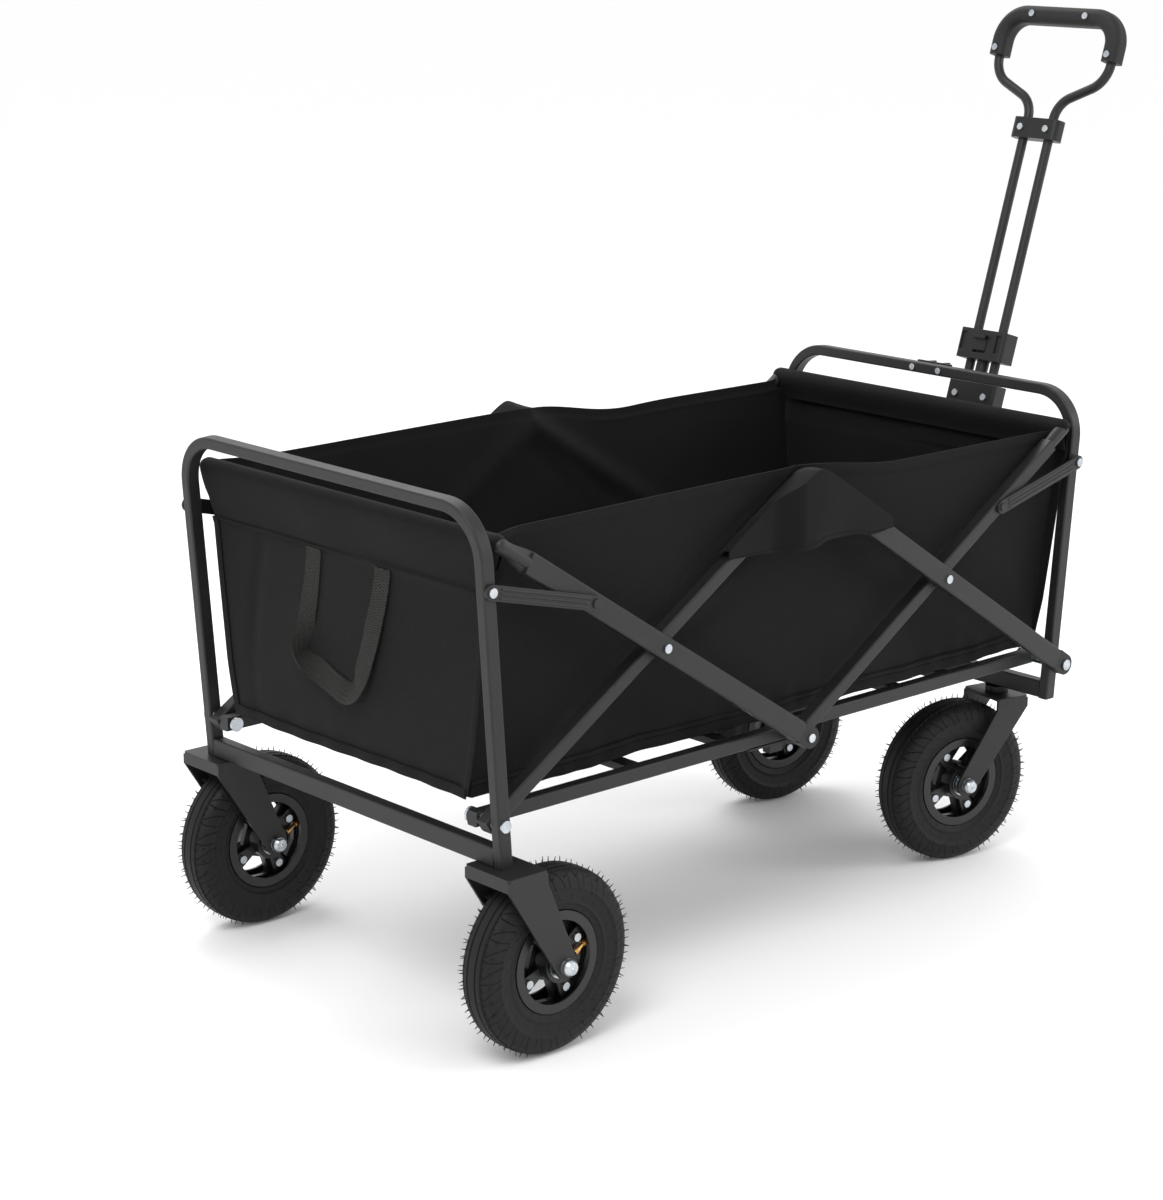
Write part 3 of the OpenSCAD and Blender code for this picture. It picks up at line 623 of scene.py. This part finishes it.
# ---------------------------------------------------------------- tyres
tyreSizes = {
    "steps": 144,
    # radius and distance from the middle plane, in millimetres
    "section": [
        (100.0, 0.0), (100.0, 4.6), (98.6, 5.2), (98.6, 6.4), (99.9, 7.0), (99.2, 11.6), (97.7, 12.3),
        (97.5, 13.3), (98.0, 14.0), (96.2, 17.2), (93.2, 20.0), (89.3, 21.9), (85.0, 22.9), (81.6, 23.1),
        (80.6, 23.8), (79.0, 23.8), (78.2, 23.0), (73.5, 22.7), (68.0, 21.6), (65.4, 21.0), (64.6, 21.6),
        (63.2, 21.4), (62.6, 20.4), (58.8, 19.3), (56.4, 18.6), (55.2, 17.2), (54.6, 14.0),
    ],
    # the oval that the map's v is measured round, in metres
    "ovalRadius": 0.0775,
    "ovalHeight": 0.0225,
    "ovalWidth": 0.023,
}
hairSizes = {
    "length": 0.0066,
    "root": 0.0006,
    "thick": 0.0008,
    "thin": 0.0003,
    # half the angle at the bottom that stays bare, where the tyre stands on the floor
    "bare": 20,
    # how many, radius, distance from the middle plane, lean
    "rows": [
        (74, 0.0975, 0.0142, 0.30),
        (74, 0.0975, -0.0142, -0.30),
        (37, 0.0915, 0.0206, 0.9),
        (37, 0.0915, -0.0206, -0.9),
    ],
}
wheelSpots = {}
for joint in frame["joints"]:
    if joint["name"].endswith("_spin"):
        wheelSpots[joint["child"]] = (Vector(joint["pos_m"]), Vector(joint["axis"]))


def buildTyre(sizes):
    half = [(r / 1000, y / 1000) for r, y in sizes["section"]]
    outline = [(0, -y, r) for r, y in reversed(half)] + [(0, y, r) for r, y in half[1:]]
    outline.append(outline[0])
    tyre = spinProfile(outline, (0, 1, 0), sizes["steps"])
    # the map that came with the profile gives way to one laid out round the tyre
    while tyre.data.uv_layers:
        tyre.data.uv_layers.remove(tyre.data.uv_layers[0])
    mapping = tyre.data.uv_layers.new(name="tyreMap")
    for face in tyre.data.polygons:
        angles = []
        for corner in face.loop_indices:
            spot = tyre.data.vertices[tyre.data.loops[corner].vertex_index].co
            angles.append(math.atan2(spot.x, spot.z) / math.tau + 0.5)
        wraps = max(angles) - min(angles) > 0.5
        for corner, turn in zip(face.loop_indices, angles):
            spot = tyre.data.vertices[tyre.data.loops[corner].vertex_index].co
            radius = math.hypot(spot.x, spot.z)
            outward = (radius - sizes["ovalRadius"]) / sizes["ovalHeight"]
            fromTread = math.atan2(abs(spot.y) / sizes["ovalWidth"], outward) / math.pi
            side = tyreCuts["shift"] / tyreCuts["count"] if spot.y > 0 else 0.0
            wrap = 1 if wraps and turn < 0.5 else 0
            mapping.data[corner].uv = (turn + side + wrap, fromTread)
    return tyre


def buildNubs(sizes):
    # moulding hairs at both edges of the tread and on both shoulders
    deselect()
    bpy.ops.mesh.primitive_cone_add(
        vertices=5,
        radius1=sizes["thick"],
        radius2=sizes["thin"],
        depth=sizes["length"],
        location=(0, 0, sizes["length"] / 2 - sizes["root"]),
    )
    bpy.ops.object.transform_apply(location=True, rotation=True, scale=True)
    hair = bpy.context.object
    hairs = []
    for row, (count, radius, y, lean) in enumerate(sizes["rows"]):
        for index in range(count):
            turn = math.tau * (index + 0.5 * (row % 2)) / count
            if abs(turn - math.pi) < math.radians(sizes["bare"]):
                continue
            wobble = 0.22 * math.sin(index * 2.7 + row) + 0.10 * math.sin(index * 7.1)
            longer = 0.75 + 0.35 * abs(math.sin(index * 1.9 + row))
            matrix = Matrix.Rotation(turn, 4, "Y") @ Matrix.Translation((0, y, radius))
            matrix = matrix @ Matrix.Rotation(-lean * 0.5, 4, "X") @ Matrix.Rotation(wobble, 4, "Y")
            hairs.append(copyPiece(hair, "hair", matrix @ Matrix.Diagonal((1, 1, longer, 1))))
    bpy.data.objects.remove(hair)
    return joinPieces(hairs)


tyreModel = buildTyre(tyreSizes)
nubModel = buildNubs(hairSizes)
settle(tyreModel, "tyreModel", tyreRubber, 50)
settle(nubModel, "nubModel", tyreRubber, 60)

# brass valve with its ribbed nut, standing in a window of the rim
valveSizes = {
    "outline": [
        (0, 0, 0), (2.6, 0, 0), (2.6, 0, 9), (3.6, 0, 9.4), (3.6, 0, 12.4), (2.3, 0, 12.8),
        (2.3, 0, 22), (3.0, 0, 22.4), (3.0, 0, 29), (2.2, 0, 30), (0, 0, 30),
    ],
    "turn": 73,
    "spot": (0.004, -0.009, 0.0535),
    "lean": math.pi - 0.30,
}

# domed zinc nut on the axle ends: radius and distance along the axle
nutSizes = {
    "outline": [
        (0, 0), (0, 8.6), (1.2, 8.6), (2.0, 7.4), (6.6, 7.0), (8.6, 4.6), (9.4, 1.6), (9.0, 0),
    ],
    "out": 0.0364,
}


def inMetres(points):
    return [tuple(number / 1000 for number in point) for point in points]


valveModel = spinProfile(inMetres(valveSizes["outline"]), (0, 0, 1), 16)
settle(valveModel, "valveModel", valveBrass, 40)
nutOutline = [(0, along, radius) for radius, along in nutSizes["outline"]]
nutModel = spinProfile(inMetres(nutOutline), (0, 1, 0), 28)
settle(nutModel, "nutModel", zincPlate, 30)

# each wheel: its name in the frame, the body its axle is on, and how far its tyre is turned
wheelBodies = {
    "wheel_rear_right": ("rear_right", "rear_frame", 20),
    "wheel_rear_left": ("rear_left", "rear_frame", 140),
    "wheel_front_right": ("front_right", "caster_right", 60),
    "wheel_front_left": ("front_left", "caster_left", 200),
}
for body, (title, fork, turn) in wheelBodies.items():
    spot, axis = wheelSpots[body]
    yaw = Matrix.Rotation(math.atan2(-axis.x, axis.y), 4, "Z")
    stand = Matrix.Translation(spot) @ yaw
    turned = stand @ Matrix.Rotation(math.radians(turn), 4, "Y")
    tyre = copyPiece(tyreModel, "tyre_" + title + "_tread", turned)
    attach(tyre, body, "tyre_rubber", "tyre_" + title)
    nubs = copyPiece(nubModel, "tyre_" + title + "_nubs", stand)
    attach(nubs, body, "tyre_rubber")
    seat = stand @ Matrix.Rotation(math.radians(valveSizes["turn"]), 4, "Y")
    seat = seat @ Matrix.Translation(valveSizes["spot"]) @ Matrix.Rotation(valveSizes["lean"], 4, "X")
    valve = copyPiece(valveModel, "valve_" + title, seat)
    attach(valve, body, "zinc")
    for side, suffix in ((-1, "_out"), (1, "_in")):
        turnOut = Matrix.Rotation(math.pi if side < 0 else 0, 4, "X")
        seat = stand @ turnOut @ Matrix.Translation((0, nutSizes["out"], 0))
        nut = copyPiece(nutModel, "axle_nut_" + title + suffix, seat)
        attach(nut, fork, "zinc")
for model in (tyreModel, nubModel, valveModel, nutModel):
    bpy.data.objects.remove(model)
print("wheels dressed")


# ---------------------------------------------------------------- cloth
def makeSheet(name, columns, rows, shape, width, length):
    # a grid laid out by shape(u, v); its map is in metres over the flat cut
    deselect()
    bpy.ops.mesh.primitive_grid_add(x_subdivisions=columns, y_subdivisions=rows, size=2)
    piece = bpy.context.object
    piece.name = name
    mapping = piece.data.uv_layers.active
    for vertex in piece.data.vertices:
        u = (vertex.co.x + 1) / 2
        v = (vertex.co.y + 1) / 2
        vertex.co = shape(u, v)
    for corner in mapping.data:
        corner.uv = (corner.uv[0] * width, corner.uv[1] * length)
    return piece


def thicken(piece, thickness):
    pick(piece)
    shell = piece.modifiers.new("thickness", "SOLIDIFY")
    shell.thickness = thickness
    shell.offset = 0.0
    bpy.ops.object.modifier_apply(modifier=shell.name)


def ease(value):
    value = max(0.0, min(1.0, value))
    return value * value * (3 - 2 * value)


def swell(value, centre, width):
    return math.exp(-((value - centre) / width) ** 2)


# in millimetres; flat cuts and cloth thickness in metres
tubSizes = {
    "half": 446,
    "lowY": 198.0,
    "lowZ": 273.0,
    "hemRear": 552.0,
    "hemMiddle": 557.0,
    "hemFront": 541.0,
    "hemBand": 12.0,
    "hemY": 219.0,
    "barZ": 543,
    "barFall": 286,
    # the widest that the wall gets below its hem, inside the square bars
    "insideBars": 221.3,
    # the share of its length that the cloth keeps with the wagon folded
    "keep": 0.294,
    "flat": (0.892, 0.290),
    "cloth": 0.0011,
    # how far out, place along the wagon and spread, height and spread
    "bulges": [
        (5.5, 0, 150, 372, 74),
        (4.0, -330, 90, 440, 60),
        (3.0, 330, 90, 430, 60),
        (-5.0, -240, 80, 330, 50),
        (-4.0, 250, 80, 345, 50),
    ],
    # place along the wagon, height, slope
    "folds": [(-70, 470, 0.9), (62, 470, -1.05), (-150, 400, 0.5), (165, 410, -0.45)],
}


def hemHeight(x, side):
    middle = tubSizes["hemMiddle"]
    if x < 0:
        rear = tubSizes["hemRear"]
        high = rear + (middle - rear) * ease((x + tubSizes["half"]) / tubSizes["half"])
    else:
        high = middle + (tubSizes["hemFront"] - middle) * ease(x / 170)
    return high - (3.5 * swell(x, 120, 70) if side > 0 else 0)


def hemWidth(x):
    # the hem runs out over the hoop corners and stays inside the bars between them
    half = tubSizes["half"]
    return tubSizes["hemY"] + 14 * swell(x, -half, 30) + 8 * swell(x, half, 20)


def wallShape(side):
    half = tubSizes["half"]
    band = tubSizes["hemBand"]

    def shape(u, v):
        x = -half + 2 * half * u
        # rows close up at the hem, so that its stitching shows
        rise = v ** 0.92
        bottom = tubSizes["lowZ"] + 1.2 * math.sin(x / 47 + side) + 0.5 * math.sin(x / 19)
        top = hemHeight(x, side)
        z = bottom + (top - bottom) * rise
        low = tubSizes["lowY"] + 0.8 * math.sin(x / 60)
        out = low + (hemWidth(x) - low) * (rise ** 1.3)
        # the wall lies in behind the square bars and bellies out between them
        fromBar = z - (tubSizes["barZ"] - abs(x) / half * tubSizes["barFall"])
        out -= 10 * swell(fromBar, -4, 18) * ease(rise * 1.5) * (0.45 + 0.55 * swell(x, 0, 230))
        for amount, middleX, spreadX, middleZ, spreadZ in tubSizes["bulges"]:
            out += amount * swell(x, middleX, spreadX) * swell(z, middleZ, spreadZ)
        # folds that fan out below the middle node
        for foldX, foldZ, slope in tubSizes["folds"]:
            off = (x - foldX) * slope * 0.6 - (z - foldZ) * 0.8
            out -= 2.4 * swell(off, 0, 9) * swell(x, foldX, 60) * swell(z, foldZ, 60)
        # small puckers along the floor seam and soft creases
        pucker = 0.9 * math.sin(x / 7.5 + 2 * math.sin(x / 53)) * swell(rise, 0.0, 0.11)
        crease = math.sin((x + z * 0.8) / 26 + 1.3 * math.sin(z / 60)) * swell(rise, 0.35, 0.35)
        crease = 1.5 * crease + 1.1 * math.sin((x - z * 1.1) / 33 + side) * swell(rise, 0.55, 0.3)
        out += pucker + crease * (0.4 + 0.6 * abs(math.sin(x / 130)))
        # stitched hem
        drop = top - z
        if drop < band:
            out += 1.2
        if abs(drop - band) < 1.6:
            out -= 0.9
        if drop > band + 2 or abs(x) < 400:
            out = min(out, tubSizes["insideBars"])
        return place(x, side * out, z)
    return shape


def squashWithFold(piece):
    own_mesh(piece)


def buildWall(name, side, node):
    flat = tubSizes["flat"]
    wall = makeSheet(name, 170, 110, wallShape(side), *flat)
    thicken(wall, tubSizes["cloth"])
    settle(wall, name, tubCloth, 60)
    attach(wall, "tub", "black_fabric", node)
    squashWithFold(wall)


buildWall("wall_cloth_right", -1, "side_wall_right")
buildWall("wall_cloth_left", 1, "side_wall_left")


# flap over the upper middle node: from the hem over both bars, and down to a loose lower edge
flapSizes = {
    "left": -123.0,
    "right": 118.0,
    "nodeTop": 560.0,
    "slope": 0.641,
    "hemY": 222.4,
    "innerBar": 241.0,
    "outerBar": 257.8,
    # the share of the sheet from the hem to the top of the bars
    "over": 0.30,
    # along the wagon, and height of the loose edge
    "edge": [
        (-123, 476), (-80, 475), (-52, 473), (-11, 474), (11, 480), (48, 480), (85, 475), (118, 478),
    ],
    "flat": (0.241, 0.075),
}


def flapEdge(x):
    marks = flapSizes["edge"]
    for (lowX, lowZ), (highX, highZ) in zip(marks, marks[1:]):
        if x <= highX:
            return lowZ + (highZ - lowZ) * ease((x - lowX) / (highX - lowX))
    return marks[-1][1]


def flapShape(side):
    left, right = flapSizes["left"], flapSizes["right"]
    inner, outer = flapSizes["innerBar"], flapSizes["outerBar"]
    over = flapSizes["over"]

    def shape(u, v):
        x = left + (right - left) * u
        ridge = flapSizes["nodeTop"] - flapSizes["slope"] * (math.sqrt(x * x + 60) - 7)
        face = inner + (outer - inner) * ease((x + 58) / 36)
        toRight = ease((x + 14) / 24)
        narrow = max(0.03, 1 - max(0, x - 6) / (right - 4))
        tucked = ridge + (hemHeight(x, side) - 3 - ridge) * narrow
        start = (ridge - 9) * (1 - toRight) + tucked * toRight
        if v < over:
            share = v / over
            z = start + (ridge - start) * share + 2.0 * math.sin(share * math.pi) * (1 - toRight)
            out = flapSizes["hemY"] + (face - flapSizes["hemY"]) * share
            return place(x, side * out, z)
        share = (v - over) / (1 - over)
        z = ridge + (flapEdge(x) - ridge) * share
        # it stands off a little below the bars, and its stitching lies in
        out = face + 1.6 * math.sin(share * math.pi) * swell(x, 8, 60)
        out += 1.5 * math.sin(x / 15 + share * 2.0) * share * swell(x, -5, 75)
        if 0.90 < share < 0.93:
            out -= 0.7
        return place(x, side * out, z)
    return shape


def buildFlap(name, side):
    flat = flapSizes["flat"]
    flap = makeSheet(name, 96, 60, flapShape(side), *flat)
    thicken(flap, tubSizes["cloth"])
    settle(flap, name, tubCloth, 60)
    attach(flap, "tub", "black_fabric")
    squashWithFold(flap)


buildFlap("node_flap_right", -1)
buildFlap("node_flap_left", 1)


# end panels with a sleeve round the hem tube
panelSizes = {
    "sleeve": 10.4,
    "bottom": 274.0,
    "sewnZ": 491.0,
    "tubeZ": 543.0,
    "insideDrop": 26,
    # how much narrower the front panel is at the tube, and half the tube's length
    "frontInset": 12.0,
    "tubeHalf": 252,
    # the shares of the sheet at the sewn edge, the tube's outside and the tube's inside
    "sewn": 0.70,
    "outside": 0.84,
    "inside": 0.94,
    # height and half width
    "widths": [(274, 197), (331, 209), (432, 222), (492, 229), (520, 243), (545, 251), (570, 252)],
    "flat": (0.47, 0.355),
}


def halfWidth(z):
    marks = panelSizes["widths"]
    for (lowZ, lowW), (highZ, highW) in zip(marks, marks[1:]):
        if z <= highZ:
            return lowW + (highW - lowW) * max(0, (z - lowZ) / (highZ - lowZ))
    return marks[-1][1]


def panelShape(end, front):
    tubeX = end * tubSizes["half"]
    wide = -panelSizes["frontInset"] if front else 0.0
    bottom, sewnZ, tubeZ = panelSizes["bottom"], panelSizes["sewnZ"], panelSizes["tubeZ"]
    sewn, outside, inside = panelSizes["sewn"], panelSizes["outside"], panelSizes["inside"]
    tubeEnd = panelSizes["tubeHalf"] + wide

    def shape(u, v):
        # from the floor up to the sewn edge, then up and over the tube and down inside
        across = (u - 0.5) * 2
        # the sleeve closes over the ends of the tube
        past = max(0.0, abs(across) * tubeEnd - (tubeEnd - 10)) / panelSizes["sleeve"]
        sleeve = panelSizes["sleeve"] * math.sqrt(max(0.05, 1 - past * past))
        if v < sewn:
            share = v / sewn
            z = bottom + (sewnZ - bottom) * share
            out = 1.0 + 2.2 * swell(share, 1.0, 0.02)
            out += 5 * swell(across, -0.25, 0.5) * math.sin(share * math.pi)
            out += 3.2 * math.sin(share * 3.1 + across * 2.3) * (1 - across ** 2)
            # a crease down one side
            creaseAt = 0.80 - 0.18 * share ** 2
            out -= 3.0 * swell(-end * across, creaseAt, 0.05) * swell(share, 0.6, 0.5)
            out += 0.8 * math.sin(across * 23 + share * 3) * swell(share, 0.0, 0.10)
        elif v < outside:
            share = (v - sewn) / (outside - sewn)
            z = sewnZ + (tubeZ - sewnZ) * share
            out = 2.6 + (sleeve - 2.6) * ease(share)
            out += 1.2 * math.sin(across * 9) * math.sin(share * math.pi)
        elif v < inside:
            angle = (v - outside) / (inside - outside) * math.pi
            z = tubeZ + sleeve * math.sin(angle)
            out = sleeve * math.cos(angle)
        else:
            share = (v - inside) / (1 - inside)
            z = tubeZ - panelSizes["insideDrop"] * share
            out = -sleeve + max(0.0, sleeve - 2.0) * ease(share)
        y = across * (halfWidth(z) + wide * ease((z - 500) / 40))
        return place(tubeX + end * out, y, z)
    return shape


def buildPanel(name, end, front, node, body):
    flat = panelSizes["flat"]
    panel = makeSheet(name, 120, 150, panelShape(end, front), *flat)
    thicken(panel, tubSizes["cloth"])
    settle(panel, name, tubCloth, 60)
    attach(panel, body, "black_fabric", node)


buildPanel("panel_cloth_rear", -1, False, "rear_panel", "rear_panel")
buildPanel("panel_cloth_front", 1, True, "front_panel", "front_panel")


# floor cloth in two halves, with stitched channels and a little slack between the rungs
floorClothSizes = {
    "halfWidth": 199,
    "height": 274.2,
    "slack": 1.2,
    "seams": (-221, -84, 215, 301),
    "flat": (0.446, 0.398),
    "cloth": 0.0018,
}


def floorShape(start, end):
    sizes = floorClothSizes
    half = tubSizes["half"]

    def shape(u, v):
        x = start + (end - start) * u
        y = (v - 0.5) * 2 * sizes["halfWidth"]
        sag = math.sin((x + half) / (2 * half) * math.pi * 4) ** 2
        z = sizes["height"] - sizes["slack"] * sag
        for seam in sizes["seams"]:
            z -= 0.9 * swell(x, seam, 2.5)
        z += 0.7 * math.sin(x / 31 + y / 47)
        return place(x, y, z)
    return shape


def buildFloor(name, start, end, body, node):
    flat = floorClothSizes["flat"]
    cloth = makeSheet(name, 90, 60, floorShape(start, end), *flat)
    thicken(cloth, floorClothSizes["cloth"])
    settle(cloth, name, tubCloth, 60)
    attach(cloth, body, "black_fabric", node)


buildFloor("floor_cloth_rear", -446, 0, "base_rear", "tub_floor_rear")
buildFloor("floor_cloth_front", 0, 446, "base_front", "tub_floor_front")
print("tub cloth hung")


# ---------------------------------------------------------------- bindings and seams
# width and thickness of each tape, in metres
tapeSizes = {
    "binding": (0.011, 0.0016),
    "piping": (0.004, 0.0022),
    "seam": (0.0022, 0.0012),
    "edge": (0.009, 0.0016),
    "step": 0.004,
    # narrower tapes are not declared as sheets
    "narrowest": 0.010,
}


def ribbon(name, path, sizes, body, normal, squashed=False):
    # a folded tape along a path; its width lies across both the path and the normal
    width, thickness = sizes
    facing = Vector(normal)
    count = len(path) - 1
    total = sum((after - before).length for before, after in zip(path, path[1:]))

    def shape(u, v):
        where = u * count
        index = min(int(where), count - 1)
        spot = path[index].lerp(path[index + 1], where - index)
        along = (path[min(index + 2, count)] - path[max(index - 1, 0)]).normalized()
        across = facing.cross(along).normalized()
        crown = 0.35 * thickness * math.sin(v * math.pi)
        return spot + across * (v - 0.5) * width + facing * crown
    tape = makeSheet(name, max(24, int(total / tapeSizes["step"])), 5, shape, total, width)
    thicken(tape, thickness)
    settle(tape, name, bindingTape, 60)
    attach(tape, body, "black_fabric")
    if squashed:
        squashWithFold(tape)


def tracePath(shape, steps, start, end, offset):
    # spots on a sheet from one (u, v) to another, moved off it
    path = []
    for index in range(steps + 1):
        u = start[0] + (end[0] - start[0]) * index / steps
        v = start[1] + (end[1] - start[1]) * index / steps
        path.append(shape(u, v) + Vector(offset))
    return path


for side, title in ((-1, "right"), (1, "left")):
    shape = wallShape(side)
    facing = (0, side, 0.1)
    path = tracePath(shape, 120, (0, 0.012), (1, 0.012), (0, side * 0.0022, 0))
    ribbon("floor_binding_" + title, path, tapeSizes["binding"], "tub", facing, True)
    path = tracePath(shape, 120, (0, 0.012), (1, 0.012), (0, side * 0.0018, 0.009))
    ribbon("floor_piping_" + title, path, tapeSizes["piping"], "tub", facing, True)

for end, title, front in ((-1, "rear", False), (1, "front", True)):
    shape = panelShape(end, front)
    body = title + "_panel"
    facing = (end, 0, 0)
    sewn = panelSizes["sewn"]
    path = tracePath(shape, 90, (0, 0.012), (1, 0.012), (end * 0.0024, 0, 0))
    ribbon("panel_binding_" + title, path, tapeSizes["binding"], body, facing)
    path = tracePath(shape, 90, (0, sewn), (1, sewn), (end * 0.0012, 0, -0.001))
    ribbon("panel_seam_" + title, path, tapeSizes["seam"], body, facing)
    for edge, suffix in ((0.005, "_right"), (0.995, "_left")):
        path = tracePath(shape, 60, (edge, 0.01), (edge, sewn), (end * 0.0016, 0, 0))
        ribbon("panel_edge_" + title + suffix, path, tapeSizes["edge"], body, facing)
print("bindings sewn")


# webbing loop on the rear panel: one flat tape bent round, with a turn at each lower corner
strapSizes = {
    "flat": (0.34, 0.025),
    "thickness": 0.0018,
    # how far the tape stands off the panel at its ends, and how much of the marks' standing-off shows
    "offset": 1.8,
    "lift": 0.6,
    # across the panel, height, how far it stands off, turn and tilt of its width,
    # from one seam to the other
    "marks": [
        (51, 488, 4, 0, 0), (51, 462, 5, 0, 0), (53, 434, 7, -3, 5), (57, 408, 9, -8, 14),
        (60, 388, 11, -20, 45), (58, 374, 13, -56, 74), (42, 364, 14, -70, 46), (22, 357, 13, -73, 24),
        (2, 350, 12, -76, 14), (-18, 345, 11, -88, 24), (-34, 354, 11, -140, 22),
        (-44, 374, 10, -158, 6), (-54, 400, 9, -164, 3), (-62, 428, 8, -168, 0),
        (-68, 458, 6, -175, 0), (-70, 488, 4, -180, 0),
    ],
}


def curveBetween(marks, where):
    # a smooth curve through all the marks, one number at a time
    count = len(marks) - 1
    index = min(int(where), count - 1)
    share = where - index
    around = (marks[max(index - 1, 0)], marks[index], marks[index + 1], marks[min(index + 2, count)])
    values = []
    for a, b, c, d in zip(*around):
        slope = (c - a) * share
        bend = (2 * a - 5 * b + 4 * c - d) * share ** 2
        twist = (3 * b - a - 3 * c + d) * share ** 3
        values.append(0.5 * (2 * b + slope + bend + twist))
    return values


def buildStrap(sizes):
    marks = sizes["marks"]
    width = sizes["flat"][1]
    onPanel = panelShape(-1, False)
    bottom, sewnZ = panelSizes["bottom"], panelSizes["sewnZ"]
    standsOff = marks[0][2]

    def shape(u, v):
        y, z, out, turn, tilt = curveBetween(marks, u * (len(marks) - 1))
        turn = math.radians(turn)
        tilt = math.radians(tilt)
        flat = math.cos(tilt)
        across = Vector((-math.sin(tilt), math.cos(turn) * flat, math.sin(turn) * flat))
        # it lies on the panel, whose own bulge it follows
        rise = panelSizes["sewn"] * (z - bottom) / (sewnZ - bottom)
        under = onPanel(0.5 + y / (2 * halfWidth(z)), rise)
        spot = place(0, y, z)
        spot.x = under.x - (sizes["offset"] + sizes["lift"] * (out - standsOff)) / 1000
        return spot + across * (v - 0.5) * width
    strap = makeSheet("webbing_loop", 220, 8, shape, *sizes["flat"])
    thicken(strap, sizes["thickness"])
    settle(strap, "webbing_loop", webbingTape, 60)
    attach(strap, "rear_panel", "black_fabric", "webbing_strap")


buildStrap(strapSizes)
print("webbing sewn on")
